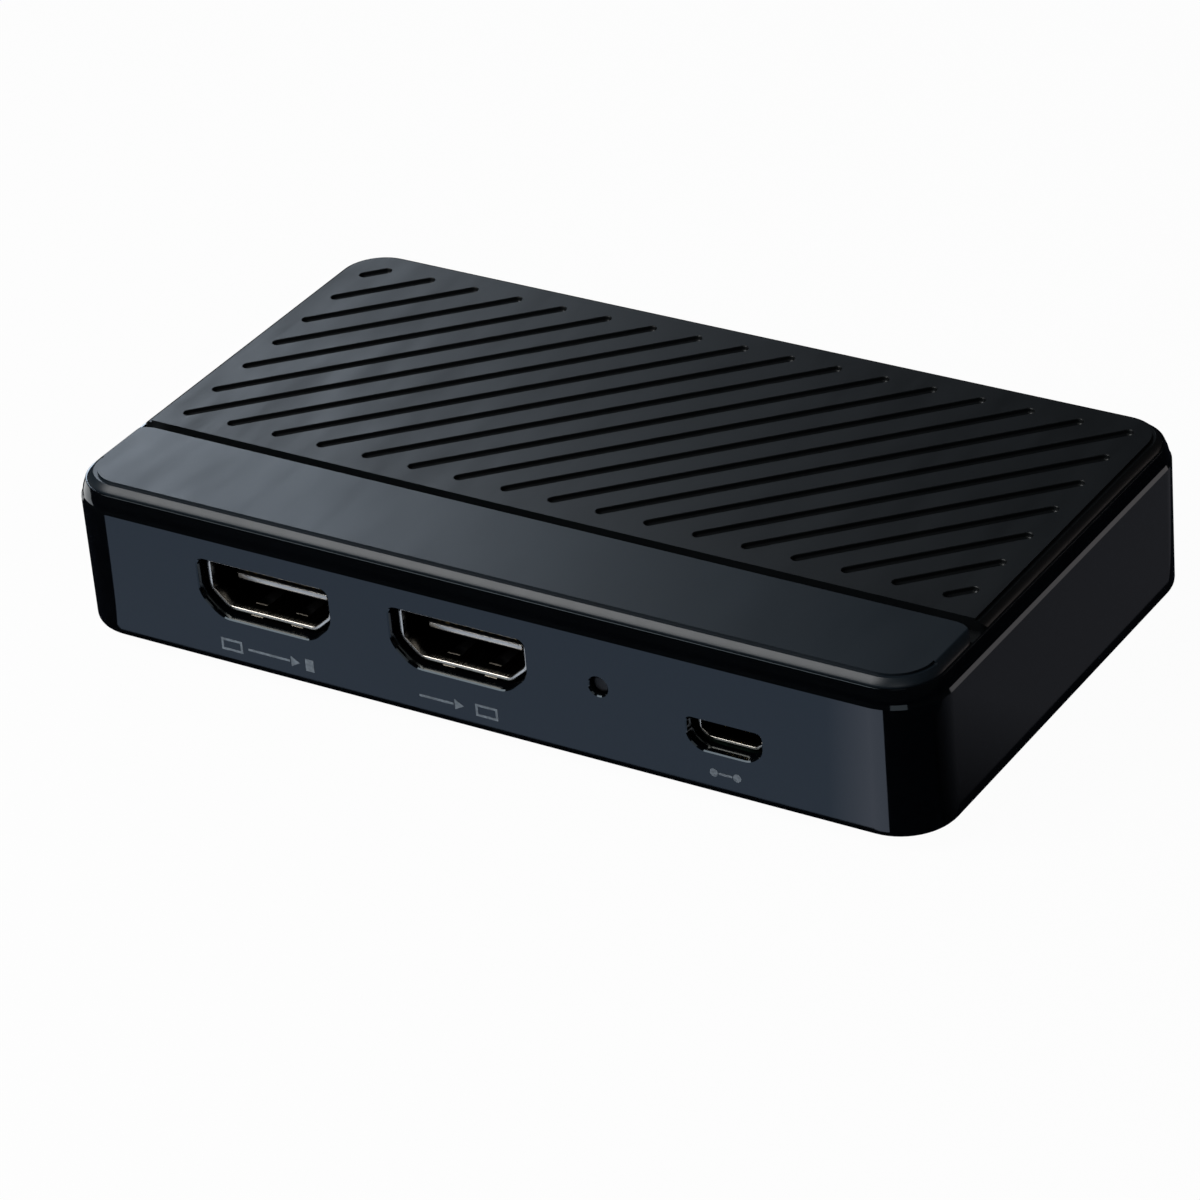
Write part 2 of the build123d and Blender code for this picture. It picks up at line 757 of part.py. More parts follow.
def build_hdmi_contacts(centre_x):
    """Contacts above and below a large socket's tongue, and their tails on the board."""
    tongue_z = hdmi_under_z + hdmi_tongue_height
    reach_z = hdmi_tongue_thickness / 2
    front = hdmi_mouth_y + hdmi_tongue_recess + hdmi_contact_back
    back = hdmi_back_y - hdmi_block_depth
    tail_front = hdmi_back_y + hdmi_flange_thickness
    tail_back = tail_front + hdmi_tail_length
    tail_count = hdmi_upper_contacts + hdmi_lower_contacts
    tail_pitch = hdmi_contact_pitch / 2
    with BuildPart() as hdmi_contacts:
        with BuildSketch(Plane.XY.offset(tongue_z + reach_z)):
            with Locations((centre_x, 0)):
                add(contact_row(hdmi_upper_contacts, hdmi_contact_pitch, hdmi_contact_width, front, back))
        extrude(amount=hdmi_contact_thickness)
        with BuildSketch(Plane.XY.offset(tongue_z - reach_z)):
            with Locations((centre_x, 0)):
                add(contact_row(hdmi_lower_contacts, hdmi_contact_pitch, hdmi_contact_width, front, back))
        extrude(amount=-hdmi_contact_thickness)
        with BuildSketch(Plane.XY.offset(board_top_z)):
            with Locations((centre_x, 0)):
                add(contact_row(tail_count, tail_pitch, hdmi_tail_width, tail_front, tail_back))
        extrude(amount=hdmi_contact_thickness)
    return hdmi_contacts


def build_usb_shell():
    """The small socket's folded metal shell, seated on the board by its lower wall."""
    with BuildPart() as usb_shell:
        with BuildSketch(facing_plane(usb_mouth_y)):
            with Locations((usb_centre_x, usb_z)):
                add(usb_outline(0))
                add(usb_outline(-usb_wall), mode=Mode.SUBTRACT)
        extrude(amount=-usb_depth)
        with BuildSketch(Plane.XY.offset(board_under_z)):
            with Locations((usb_centre_x, usb_mouth_y)):
                add(usb_legs(0))
        extrude(amount=usb_z - board_under_z)
    return usb_shell


def build_usb_insulator():
    """The small socket's plastic block and tongue."""
    block_front_y = usb_back_y - usb_block_depth
    with BuildPart() as usb_insulator:
        with BuildSketch(facing_plane(usb_back_y)):
            with Locations((usb_centre_x, usb_z)):
                add(usb_outline(-usb_wall - usb_block_clearance))
        extrude(amount=usb_block_depth)
        with BuildSketch(facing_plane(block_front_y)):
            with Locations((usb_centre_x, board_top_z + usb_tongue_height)):
                Rectangle(usb_tongue_width, usb_tongue_thickness)
        extrude(amount=block_front_y - usb_mouth_y - usb_tongue_recess)
    return usb_insulator


def build_usb_contacts():
    """Contacts under the small socket's tongue, and their tails on the board."""
    under_z = board_top_z + usb_tongue_height - usb_tongue_thickness / 2
    front = usb_mouth_y + usb_tongue_recess
    back = usb_back_y - usb_block_depth
    tail_back = usb_back_y + usb_tail_length
    count = usb_contact_count
    pitch = usb_contact_pitch
    with BuildPart() as usb_contacts:
        with BuildSketch(Plane.XY.offset(under_z)):
            with Locations((usb_centre_x, 0)):
                add(contact_row(count, pitch, usb_contact_width, front, back))
        extrude(amount=-usb_contact_thickness)
        with BuildSketch(Plane.XY.offset(board_top_z)):
            with Locations((usb_centre_x, 0)):
                add(contact_row(count, pitch, usb_tail_width, usb_back_y, tail_back))
        extrude(amount=usb_contact_thickness)
    return usb_contacts


def build_status_led():
    """The small lamp on the board, under the light pipe's leg."""
    with BuildPart() as status_led:
        with BuildSketch(Plane.XY.offset(board_top_z)):
            with Locations((light_x, led_y)):
                Rectangle(led_length, led_width)
        extrude(amount=led_height)
        chamfer(status_led.faces().sort_by(Axis.Z)[-1].edges(), led_height / 8)
    return status_led


def build_light_pipe():
    """The clear pin in the front wall, turned down to the lamp by a slanted back."""
    radius = light_pipe_diameter / 2
    end_y = led_y + radius
    foot_z = board_top_z + led_height + led_gap
    collar_y = front_y + wall_thickness + light_collar_clearance
    with BuildPart() as light_pipe:
        with BuildSketch(facing_plane(front_y + light_recess)):
            with Locations((light_x, light_z)):
                Circle(radius)
        extrude(amount=front_y + light_recess - end_y)
        with BuildSketch(facing_plane(collar_y)):
            with Locations((light_x, light_z)):
                Circle(light_collar_diameter / 2)
        extrude(amount=-light_collar_thickness)
        with BuildSketch(Plane.XY.offset(foot_z)):
            with Locations((light_x, led_y)):
                Circle(radius)
        extrude(amount=light_z + radius - foot_z)
        with BuildSketch(Plane.YZ.offset(light_x)):
            with BuildLine():
                Polyline(
                    (end_y - light_pipe_diameter, light_z + radius),
                    (end_y, light_z + radius),
                    (end_y, light_z - radius),
                    close=True,
                )
            make_face()
        extrude(amount=light_pipe_diameter, both=True, mode=Mode.SUBTRACT)
    return light_pipe


def build_chip(centre_x, centre_y, size):
    """A flat chip package seated on the board, with its upper edge chamfered."""
    length, width, height = size
    with BuildPart() as chip:
        with BuildSketch(Plane.XY.offset(board_top_z)):
            with Locations((centre_x, centre_y)):
                Rectangle(length, width)
        extrude(amount=height)
        chamfer(chip.faces().sort_by(Axis.Z)[-1].edges(), chip_edge_chamfer)
    return chip


def build_thermal_pad():
    """The soft pad between the processor and the heat sink."""
    with BuildPart() as thermal_pad:
        with BuildSketch(Plane.XY.offset(board_top_z + processor_height)):
            with Locations((processor_x, processor_y)):
                Rectangle(pad_size, pad_size)
        extrude(amount=pad_thickness)
    return thermal_pad


def build_heat_sink():
    """A finned aluminium block on the thermal pad."""
    base_z = board_top_z + processor_height + pad_thickness
    fin_pitch = (sink_size - fin_thickness) / (fin_count - 1)
    with BuildPart() as heat_sink:
        with BuildSketch(Plane.XY.offset(base_z)):
            with Locations((processor_x, processor_y)):
                Rectangle(sink_size, sink_size)
        extrude(amount=sink_base_thickness)
        with BuildSketch(Plane.XY.offset(base_z + sink_base_thickness)):
            with Locations((processor_x, processor_y)):
                with GridLocations(fin_pitch, sink_size, fin_count, 1):
                    Rectangle(fin_thickness, sink_size)
        extrude(amount=sink_height - sink_base_thickness)
    return heat_sink


def build_flash_leads():
    """Gull-wing leads on both long sides of the flash chip."""
    half = flash_width / 2
    middle_z = board_top_z + flash_height / 2
    knee = flash_lead_reach / 3
    thickness = flash_lead_thickness
    with BuildPart() as flash_leads:
        for number in range(flash_lead_count):
            lead_x = flash_x + (number - (flash_lead_count - 1) / 2) * flash_lead_pitch
            for side in (-1, 1):
                with BuildSketch(Plane.YZ.offset(lead_x)):
                    with BuildLine():
                        Polyline(
                            (flash_y + side * half, middle_z),
                            (flash_y + side * (half + knee + thickness), middle_z),
                            (flash_y + side * (half + knee + thickness), board_top_z + thickness),
                            (flash_y + side * (half + flash_lead_reach), board_top_z + thickness),
                            (flash_y + side * (half + flash_lead_reach), board_top_z),
                            (flash_y + side * (half + knee), board_top_z),
                            (flash_y + side * (half + knee), middle_z - thickness),
                            (flash_y + side * half, middle_z - thickness),
                            close=True,
                        )
                    make_face()
                extrude(amount=flash_lead_width / 2, both=True)
    return flash_leads


def build_crystal(centre_x, centre_y):
    """A metal-lidded crystal."""
    with BuildPart() as crystal:
        with BuildSketch(Plane.XY.offset(board_top_z)):
            with Locations((centre_x, centre_y)):
                RectangleRounded(crystal_length, crystal_width, crystal_edge_radius)
        extrude(amount=crystal_height)
    return crystal


def build_power_inductors():
    """A row of moulded inductors with cut corners."""
    with BuildPart() as power_inductors:
        with BuildSketch(Plane.XY.offset(board_top_z)) as outline:
            with Locations((inductor_x, inductor_y)):
                with GridLocations(inductor_pitch, inductor_size, inductor_count, 1):
                    Rectangle(inductor_size, inductor_size)
            chamfer(outline.vertices(), inductor_corner)
        extrude(amount=inductor_height)
    return power_inductors


def build_can_capacitors():
    """Round can capacitors on square plastic bases."""
    with BuildPart() as can_capacitors:
        with BuildSketch(Plane.XY.offset(board_top_z)):
            with Locations((can_x, can_y)):
                with GridLocations(can_base_size, can_pitch, 1, can_count):
                    Rectangle(can_base_size, can_base_size)
        extrude(amount=can_base_height)
        with BuildSketch(Plane.XY.offset(board_top_z)):
            with Locations((can_x, can_y)):
                with GridLocations(can_base_size, can_pitch, 1, can_count):
                    Circle(can_diameter / 2)
        extrude(amount=can_height)
        chamfer(can_capacitors.faces().group_by(Axis.Z)[-1].edges(), can_edge_chamfer)
    return can_capacitors


def build_small_parts(middles, pitch, count, size):
    """A group of small blocks on the board, in a row along X about each middle point."""
    length, width, height = size
    with BuildPart() as small_parts:
        for middle in middles:
            with BuildSketch(Plane.XY.offset(board_top_z)):
                with Locations(middle):
                    with GridLocations(pitch, width, count, 1):
                        Rectangle(length, width)
            extrude(amount=height)
    return small_parts


def build_small_groups():
    """The groups of small parts, under their names."""
    esd_middles = [(hdmi_out_x, esd_y), (hdmi_in_x, esd_y)]
    esd_block = (esd_length, esd_width, esd_height)
    resistor_middles = [(hdmi_out_x, resistor_y), (hdmi_in_x, resistor_y)]
    resistor_block = (resistor_width, resistor_length, resistor_height)
    capacitor_middles = [(processor_x, processor_y - ring_reach), (processor_x, processor_y + ring_reach)]
    capacitor_block = (chip_capacitor_width, chip_capacitor_length, chip_capacitor_height)
    regulator_middles = [(regulator_x, regulator_y)]
    regulator_block = (regulator_length, regulator_width, regulator_height)
    return {
        "esd_arrays": build_small_parts(esd_middles, esd_pitch, esd_count, esd_block),
        "resistors": build_small_parts(resistor_middles, resistor_pitch, resistor_count, resistor_block),
        "ceramic_capacitors": build_small_parts(
            capacitor_middles, capacitor_pitch, capacitor_count, capacitor_block
        ),
        "voltage_regulators": build_small_parts(
            regulator_middles, regulator_pitch, regulator_count, regulator_block
        ),
    }


def build_feet():
    """The four rubber feet, under their names."""
    reach_x = post_spacing_x / 2
    reach_y = post_spacing_y / 2
    return {
        "foot_front_left": build_foot(-reach_x, -reach_y),
        "foot_front_right": build_foot(reach_x, -reach_y),
        "foot_back_left": build_foot(-reach_x, reach_y),
        "foot_back_right": build_foot(reach_x, reach_y),
    }


def build_chips():
    """The chips, under their names."""
    memory_front_y = memory_y - memory_spacing / 2
    memory_back_y = memory_y + memory_spacing / 2
    memory_size = (memory_width, memory_length, memory_height)
    return {
        "video_processor": build_chip(
            processor_x, processor_y, (processor_size, processor_size, processor_height)
        ),
        "hdmi_receiver_chip": build_chip(
            splitter_x, receiver_y, (receiver_size, receiver_size, receiver_height)
        ),
        "hdmi_splitter_chip": build_chip(
            splitter_x, splitter_y, (splitter_size, splitter_size, splitter_height)
        ),
        "memory_chip_front": build_chip(memory_x, memory_front_y, memory_size),
        "memory_chip_back": build_chip(memory_x, memory_back_y, memory_size),
        "flash_chip": build_chip(flash_x, flash_y, (flash_length, flash_width, flash_height)),
    }


def build_pieces():
    """Every piece of the box, under its name."""
    pieces = {
        "lower_housing": build_lower_housing(),
        "top_cover": build_top_cover(),
        "ribbed_panel": build_ribbed_panel(),
        "front_strip": build_front_strip(),
        "case_screws": build_case_screws(),
        "board_screws": build_board_screws(),
        "main_board": build_main_board(),
        "hdmi_out_shell": build_hdmi_shell(hdmi_out_x),
        "hdmi_out_insulator": build_hdmi_insulator(hdmi_out_x),
        "hdmi_out_contacts": build_hdmi_contacts(hdmi_out_x),
        "hdmi_in_shell": build_hdmi_shell(hdmi_in_x),
        "hdmi_in_insulator": build_hdmi_insulator(hdmi_in_x),
        "hdmi_in_contacts": build_hdmi_contacts(hdmi_in_x),
        "usb_shell": build_usb_shell(),
        "usb_insulator": build_usb_insulator(),
        "usb_contacts": build_usb_contacts(),
        "status_led": build_status_led(),
        "light_pipe": build_light_pipe(),
        "thermal_pad": build_thermal_pad(),
        "heat_sink": build_heat_sink(),
        "flash_leads": build_flash_leads(),
        "main_crystal": build_crystal(main_crystal_x, main_crystal_y),
        "usb_crystal": build_crystal(usb_centre_x, usb_crystal_y),
        "power_inductors": build_power_inductors(),
        "can_capacitors": build_can_capacitors(),
    }
    pieces.update(build_feet())
    pieces.update(build_chips())
    pieces.update(build_small_groups())
    return pieces


os.makedirs("parts", exist_ok=True)
for name, piece in build_pieces().items():
    piece.part.label = name
    export_step(piece.part, f"parts/{name}.step")
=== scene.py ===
"""Looks of a small video capture box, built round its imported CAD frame."""

import json
import logging
import math
from dataclasses import dataclass, field, replace
from enum import Enum
from functools import cached_property
from typing import Callable, Iterable

import bmesh
import bpy
from mathutils import Matrix, Vector


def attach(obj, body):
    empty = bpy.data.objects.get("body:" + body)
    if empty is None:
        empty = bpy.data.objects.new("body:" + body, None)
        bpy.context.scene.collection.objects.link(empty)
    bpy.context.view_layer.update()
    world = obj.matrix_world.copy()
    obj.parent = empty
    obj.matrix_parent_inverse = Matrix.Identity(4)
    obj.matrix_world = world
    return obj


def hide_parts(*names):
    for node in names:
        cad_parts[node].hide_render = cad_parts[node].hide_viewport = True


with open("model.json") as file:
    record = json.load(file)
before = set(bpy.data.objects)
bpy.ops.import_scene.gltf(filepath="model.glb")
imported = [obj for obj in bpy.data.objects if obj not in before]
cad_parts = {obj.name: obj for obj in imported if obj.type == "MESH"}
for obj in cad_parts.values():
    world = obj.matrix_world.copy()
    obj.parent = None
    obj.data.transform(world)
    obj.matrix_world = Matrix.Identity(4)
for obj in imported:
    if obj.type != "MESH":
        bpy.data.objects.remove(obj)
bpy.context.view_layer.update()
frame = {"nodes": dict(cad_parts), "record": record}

LOG = logging.getLogger("capture_box")
ROOT = "root"
MILLIMETRE = 0.001
X, Y, Z = range(3)

# Places closer than this are the same, and a flat face's normal has at least this share along its axis
TINY = 1e-4
FLAT = 0.9

Pair = tuple[float, float]
Triple = tuple[float, float, float]
Colour = tuple[float, float, float, float]
Signal = bpy.types.NodeSocket
EdgeTest = Callable[[Vector, Vector], bool]
FaceTest = Callable[[Vector, Vector], bool]

WHITE: Colour = (1.0, 1.0, 1.0, 1.0)


class Direction(Enum):
    """The way a round piece's axis runs."""

    DEEP = (math.pi / 2, 0.0, 0.0)
    DEEP_CORNER_RIGHT = (math.pi / 2, math.pi / 2, 0.0)
    UP = (0.0, 0.0, 0.0)


class Flow(Enum):
    """What a large socket carries, which decides its mark."""

    OUT = "out"
    IN = "in"


# Selection tests, in millimetres


def upright(a: Vector, b: Vector) -> bool:
    """True for an edge that runs straight up."""
    return abs(a.x - b.x) < TINY and abs(a.y - b.y) < TINY


def deep(a: Vector, b: Vector) -> bool:
    """True for an edge that runs straight back."""
    return abs(a.x - b.x) < TINY and abs(a.z - b.z) < TINY


def level_at(height: float) -> EdgeTest:
    """Makes a test for edges that lie at a height."""
    return lambda a, b: abs(a.z - height) < TINY and abs(b.z - height) < TINY


def facing_at(depth: float) -> EdgeTest:
    """Makes a test for edges that lie in an upright plane along the case."""
    return lambda a, b: abs(a.y - depth) < TINY and abs(b.y - depth) < TINY


def flat_at(axis: int, place: float, sign: float) -> FaceTest:
    """Makes a test for flat faces at a place on an axis that look along it (1) or against it (-1)."""
    return lambda centre, normal: abs(centre[axis] - place) < TINY and normal[axis] * sign > FLAT


class Workpiece:
    """A mesh under the tools, measured in millimetres until it is finished."""

    def __init__(self, body: bpy.types.Object) -> None:
        """Takes a mesh object to work on."""
        self.body = body

    @staticmethod
    def put_down() -> None:
        """Leaves edit mode and deselects everything."""
        active = bpy.context.view_layer.objects.active
        if active is not None and active.mode != "OBJECT":
            bpy.ops.object.mode_set(mode="OBJECT")
        bpy.ops.object.select_all(action="DESELECT")

    @classmethod
    def taken(cls, name: str) -> "Workpiece":
        """Takes the primitive that was just added, and names it."""
        return cls(bpy.context.view_layer.objects.active).rename(name)

    @classmethod
    def block(cls, name: str, low: Triple, high: Triple) -> "Workpiece":
        """Adds a block between two corners.

        Args:
            name: the piece's name.
            low: its lowest corner.
            high: its highest corner.

        Returns:
            The new piece.
        """
        cls.put_down()
        centre = [(a + b) / 2 for a, b in zip(low, high)]
        bpy.ops.mesh.primitive_cube_add(size=1.0, location=centre)
        piece = cls.taken(name)
        piece.body.scale = [b - a for a, b in zip(low, high)]
        return piece.settle()

    @classmethod
    def rod(
        cls, name: str, centre: Triple, radius: float, length: float, way: Direction, sides: int = 48
    ) -> "Workpiece":
        """Adds a round rod.

        Args:
            name: the piece's name.
            centre: its middle.
            radius: its radius.
            length: its length.
            way: the way its axis runs.
            sides: how many sides its outline has.

        Returns:
            The new piece.
        """
        cls.put_down()
        bpy.ops.mesh.primitive_cylinder_add(
            vertices=sides, radius=radius, depth=length, location=centre, rotation=way.value
        )
        return cls.taken(name).settle()

    def rename(self, name: str) -> "Workpiece":
        """Names the object and its mesh."""
        self.body.name = self.body.data.name = name
        return self

    def hold(self) -> None:
        """Makes this piece the only one selected."""
        self.put_down()
        self.body.select_set(True)
        bpy.context.view_layer.objects.active = self.body

    def settle(self) -> "Workpiece":
        """Moves the object's place, turn and size into its mesh."""
        self.hold()
        bpy.ops.object.transform_apply(location=True, rotation=True, scale=True)
        return self

    def _pick(self, kind: str, test: Callable[[bpy.types.AnyType], bool]) -> "Workpiece":
        """Opens edit mode and selects only what passes a test.

        Args:
            kind: VERT, EDGE or FACE.
            test: takes a vertex, an edge or a face of the open mesh.

        Returns:
            This piece.
        """
        self.hold()
        bpy.ops.object.mode_set(mode="EDIT")
        bpy.ops.mesh.select_mode(type=kind)
        bpy.ops.mesh.select_all(action="DESELECT")
        mesh = bmesh.from_edit_mesh(self.body.data)
        for item in {"VERT": mesh.verts, "EDGE": mesh.edges, "FACE": mesh.faces}[kind]:
            if test(item):
                item.select_set(True)
        bmesh.update_edit_mesh(self.body.data)
        return self

    def pick_edges(self, test: EdgeTest) -> "Workpiece":
        """Selects the edges that pass a test of their two ends."""
        return self._pick("EDGE", lambda edge: test(edge.verts[0].co, edge.verts[1].co))

    def pick_points(self, test: Callable[[Vector], bool]) -> "Workpiece":
        """Selects the vertices that pass a test of their place."""
        return self._pick("VERT", lambda vertex: test(vertex.co))

    def pick_faces(self, test: FaceTest) -> "Workpiece":
        """Selects the faces that pass a test of their middle and normal."""
        return self._pick("FACE", lambda face: test(face.calc_center_median(), face.normal))

    def pick_all(self) -> "Workpiece":
        """Selects the whole mesh."""
        self.pick_points(lambda place: False)
        bpy.ops.mesh.select_all(action="SELECT")
        return self

    def round_off(self, radius: float, steps: int, profile: float = 0.5) -> "Workpiece":
        """Rounds the selected edges. The profile is 0.5 for a round edge and 0.25 for a flat one."""
        bpy.ops.mesh.bevel(
            offset=radius, offset_type="OFFSET", segments=steps, profile=profile, affect="EDGES"
        )
        return self

    def inset(self, width: float) -> "Workpiece":
        """Draws the selected face in by a width."""
        bpy.ops.mesh.inset(thickness=width, depth=0.0, use_even_offset=True)
        return self

    def push(self, way: Triple) -> "Workpiece":
        """Extrudes the selected faces along a vector."""
        bpy.ops.mesh.extrude_region_move(TRANSFORM_OT_translate={"value": way, "orient_type": "GLOBAL"})
        return self

    def stretch(self, factors: Triple, centre: Triple) -> "Workpiece":
        """Scales what is selected about a point."""
        bpy.ops.transform.resize(value=factors, center_override=centre)
        return self

    def shift(self, way: Triple) -> "Workpiece":
        """Moves what is selected along a vector."""
        bpy.ops.transform.translate(value=way)
        return self

    def cut_by(self, cutter: "Workpiece", kind: str = "DIFFERENCE") -> "Workpiece":
        """Applies a boolean with another piece, which is used up.

        Args:
            cutter: the other piece.
            kind: DIFFERENCE, INTERSECT or UNION.

        Returns:
            This piece.
        """
        self.hold()
        tool = self.body.modifiers.new("cut", "BOOLEAN")
        tool.operation = kind
        tool.solver = "EXACT"
        tool.object = cutter.body
        bpy.ops.object.modifier_apply(modifier=tool.name)
        bpy.data.objects.remove(cutter.body, do_unlink=True)
        return self

    def join(self, others: Iterable["Workpiece"]) -> "Workpiece":
        """Joins other pieces into this one.

        Args:
            others: the other pieces, which are used up.

        Returns:
            This piece.
        """
        self.put_down()
        for other in others:
            other.body.select_set(True)
        self.body.select_set(True)
        bpy.context.view_layer.objects.active = self.body
        bpy.ops.object.join()
        return self

    def copy(self, name: str, shift: Triple) -> "Workpiece":
        """Makes a moved copy with a mesh of its own.

        Args:
            name: the copy's name.
            shift: the way it is moved.

        Returns:
            The copy.
        """
        body = self.body.copy()
        body.data = self.body.data.copy()
        bpy.context.collection.objects.link(body)
        body.location = shift
        return Workpiece(body).rename(name).settle()

    def finish(self, finish: "Finish", slot: str, nodes: Iterable[str] = (), degrees: float = 32.0) -> None:
        """Shades, scales to metres, dresses and hands over the piece.

        Args:
            finish: what it is made of.
            slot: the record's material slot; not used.
            nodes: the CAD nodes it stands for.
            degrees: the angle past which an edge stays sharp.
        """
        self.pick_all()
        bpy.ops.mesh.remove_doubles(threshold=TINY)
        bpy.ops.mesh.normals_make_consistent(inside=False)
        self.hold()
        bpy.ops.object.shade_smooth_by_angle(angle=math.radians(degrees))
        weighted = self.body.modifiers.new("weighted", "WEIGHTED_NORMAL")
        weighted.keep_sharp = True
        bpy.ops.object.modifier_apply(modifier=weighted.name)
        self.body.scale = (MILLIMETRE,) * 3
        self.settle()
        self.body.data.materials.clear()
        self.body.data.materials.append(finish.material())
        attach(self.body, ROOT)
        for node in nodes:
            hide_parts(node)
        LOG.info("made %s with %d faces", self.body.name, len(self.body.data.polygons))


class Graph:
    """A node tree, with short calls to add nodes. Sizes and places are in millimetres."""

    def __init__(
        self, owner: bpy.types.Material | bpy.types.World, output: str = "ShaderNodeOutputMaterial"
    ) -> None:
        """Empties the owner's tree and adds its output.

        Args:
            owner: the material or the world.
            output: the output node's type.
        """
        owner.use_nodes = True
        self.tree = owner.node_tree
        self.tree.nodes.clear()
        self.output = self.add(output)

    @cached_property
    def place(self) -> Signal:
        """Object coordinates."""
        return self.add("ShaderNodeTexCoord").outputs["Object"]

    def add(
        self, kind: str, inputs: dict[str | int, object] | None = None, **values: object
    ) -> bpy.types.Node:
        """Adds a node.

        Args:
            kind: the node's type.
            inputs: its inputs by name or number. Another node's output is linked, any other value is set.
            **values: its properties by name.

        Returns:
            The node.
        """
        node = self.tree.nodes.new(kind)
        for name, value in values.items():
            setattr(node, name, value)
        for key, value in (inputs or {}).items():
            if isinstance(value, Signal):
                self.tree.links.new(value, node.inputs[key])
            else:
                node.inputs[key].default_value = value
        return node

    def surface(self, shader: Signal) -> None:
        """Links a shader to the output."""
        self.tree.links.new(shader, self.output.inputs["Surface"])

    def mix(self, share: Signal, first: Signal, second: Signal) -> Signal:
        """Mixes two shaders by a share of the second."""
        return self.add("ShaderNodeMixShader", {0: share, 1: first, 2: second}).outputs[0]

    def mapped(self, stretch: Triple, turn: float = 0.0) -> Signal:
        """Object coordinates, stretched along each axis and turned about Z by radians."""
        inputs = {"Vector": self.place, "Scale": stretch, "Rotation": (0.0, 0.0, turn)}
        return self.add("ShaderNodeMapping", inputs).outputs["Vector"]

    def noise(self, size: float, detail: float = 3.0, vector: Signal | None = None) -> Signal:
        """A noise whose features are about a size across, with finer layers by its detail."""
        inputs = {"Vector": vector or self.place, "Scale": 1.0 / (size * MILLIMETRE), "Detail": detail}
        return self.add("ShaderNodeTexNoise", inputs).outputs["Fac"]

    def cells(self, size: float, feature: str = "F1") -> Signal:
        """A cell pattern's distance, with cells about a size across."""
        inputs = {"Vector": self.place, "Scale": 1.0 / (size * MILLIMETRE)}
        return self.add("ShaderNodeTexVoronoi", inputs, feature=feature).outputs["Distance"]

    def ramp(self, source: Signal, start: float, end: float, low: float = 0.0, high: float = 1.0) -> Signal:
        """Maps the range from start to end onto the one from low to high."""
        inputs = {"Value": source, "From Min": start, "From Max": end, "To Min": low, "To Max": high}
        return self.add("ShaderNodeMapRange", inputs).outputs["Result"]

    def spread(self, source: Signal, low: float, high: float) -> Signal:
        """Maps the middle of a noise onto a range."""
        return self.ramp(source, 0.3, 0.7, low, high)

    def clouds(self, size: float, detail: float = 3.0) -> Signal:
        """A noise that goes from 0 to 1."""
        return self.spread(self.noise(size, detail), 0.0, 1.0)

    def blend(self, share: Signal, first: Colour | Signal, second: Colour) -> Signal:
        """Mixes two colours by a share of the second."""
        return self.add("ShaderNodeMix", {0: share, 6: first, 7: second}, data_type="RGBA").outputs[2]

    def fade(self, axis: int, start: float, end: float, turn: float = 0.0) -> Signal:
        """A factor from 0 to 1 between two places on an axis that is turned about Z by radians."""
        split = self.add("ShaderNodeSeparateXYZ", {0: self.mapped((1.0, 1.0, 1.0), turn)})
        return self.ramp(split.outputs[axis], start * MILLIMETRE, end * MILLIMETRE)

    def bump(self, height: Signal, depth: float, strength: float, below: Signal | None = None) -> Signal:
        """Bends the normal, or the one of another bump below, by a relief of a depth and a strength.

        Args:
            height: the height's factor.
            depth: the relief's depth.
            strength: how much of it shows.
            below: another bump's normal that this one adds to.

        Returns:
            The bent normal.
        """
        inputs = {"Height": height, "Distance": depth * MILLIMETRE, "Strength": strength}
        if below is not None:
            inputs["Normal"] = below
        return self.add("ShaderNodeBump", inputs).outputs["Normal"]


def tint(colour: Colour, factor: float) -> Colour:
    """The colour, lighter or darker by a factor."""
    return (colour[0] * factor, colour[1] * factor, colour[2] * factor, colour[3])


@dataclass(frozen=True)
class Finish:
    """A procedural finish. Its material is made once and shared.

    Attributes:
        name: the material's name.
        colour: the base colour.
        roughness: the middle roughness.
    """

    name: str
    colour: Colour
    roughness: float

    def material(self) -> bpy.types.Material:
        """Makes the material on its first use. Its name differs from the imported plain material's.

        Returns:
            The material.
        """
        title = f"{self.name}_finish"
        known = bpy.data.materials.get(title)
        if known is not None:
            return known
        made = bpy.data.materials.new(title)
        graph = Graph(made)
        graph.surface(graph.add("ShaderNodeBsdfPrincipled", self.inputs(graph)).outputs["BSDF"])
        return made

    def inputs(self, graph: Graph) -> dict[str, object]:
        """The shader's inputs. Each kind of finish has its own."""
        raise NotImplementedError


@dataclass(frozen=True)
class MouldedPlastic(Finish):
    """Moulded plastic with a grain, slight mottling and handling marks.

    Attributes:
        grain: the grain's size in millimetres.
        relief: the grain's depth in millimetres.
        mottle: how far the colour drifts.
        drift: how far the roughness drifts.
        scuffs: how strongly fine rubbed lines show.
        sheen: the colour of what it mirrors head-on.
    """

    grain: float = 0.15
    relief: float = 0.01
    mottle: float = 0.1
    drift: float = 0.04
    scuffs: float = 0.15
    sheen: Colour = WHITE

    def inputs(self, graph: Graph) -> dict[str, object]:
        """Colour drifts over centimetres, roughness over millimetres, relief over the grain.

        Args:
            graph: the material's node tree.

        Returns:
            The shader's inputs by name.
        """
        darker, lighter = (tint(self.colour, factor) for factor in (1.0 - self.mottle, 1.0 + self.mottle))
        wiped = graph.noise(3.0, 4.0, graph.mapped((1.0, 0.25, 1.0), 0.5))
        rubbed = graph.noise(0.4, 1.0, graph.mapped((1.0, 0.04, 1.0), 0.9))
        lines = graph.bump(rubbed, 0.002, self.scuffs)
        return {
            "Base Color": graph.blend(graph.clouds(14.0, 2.0), darker, lighter),
            "Roughness": graph.spread(wiped, self.roughness - self.drift, self.roughness + self.drift),
            "Specular Tint": self.sheen,
            "Normal": graph.bump(graph.noise(self.grain, 2.0), self.relief, 1.0, lines),
        }


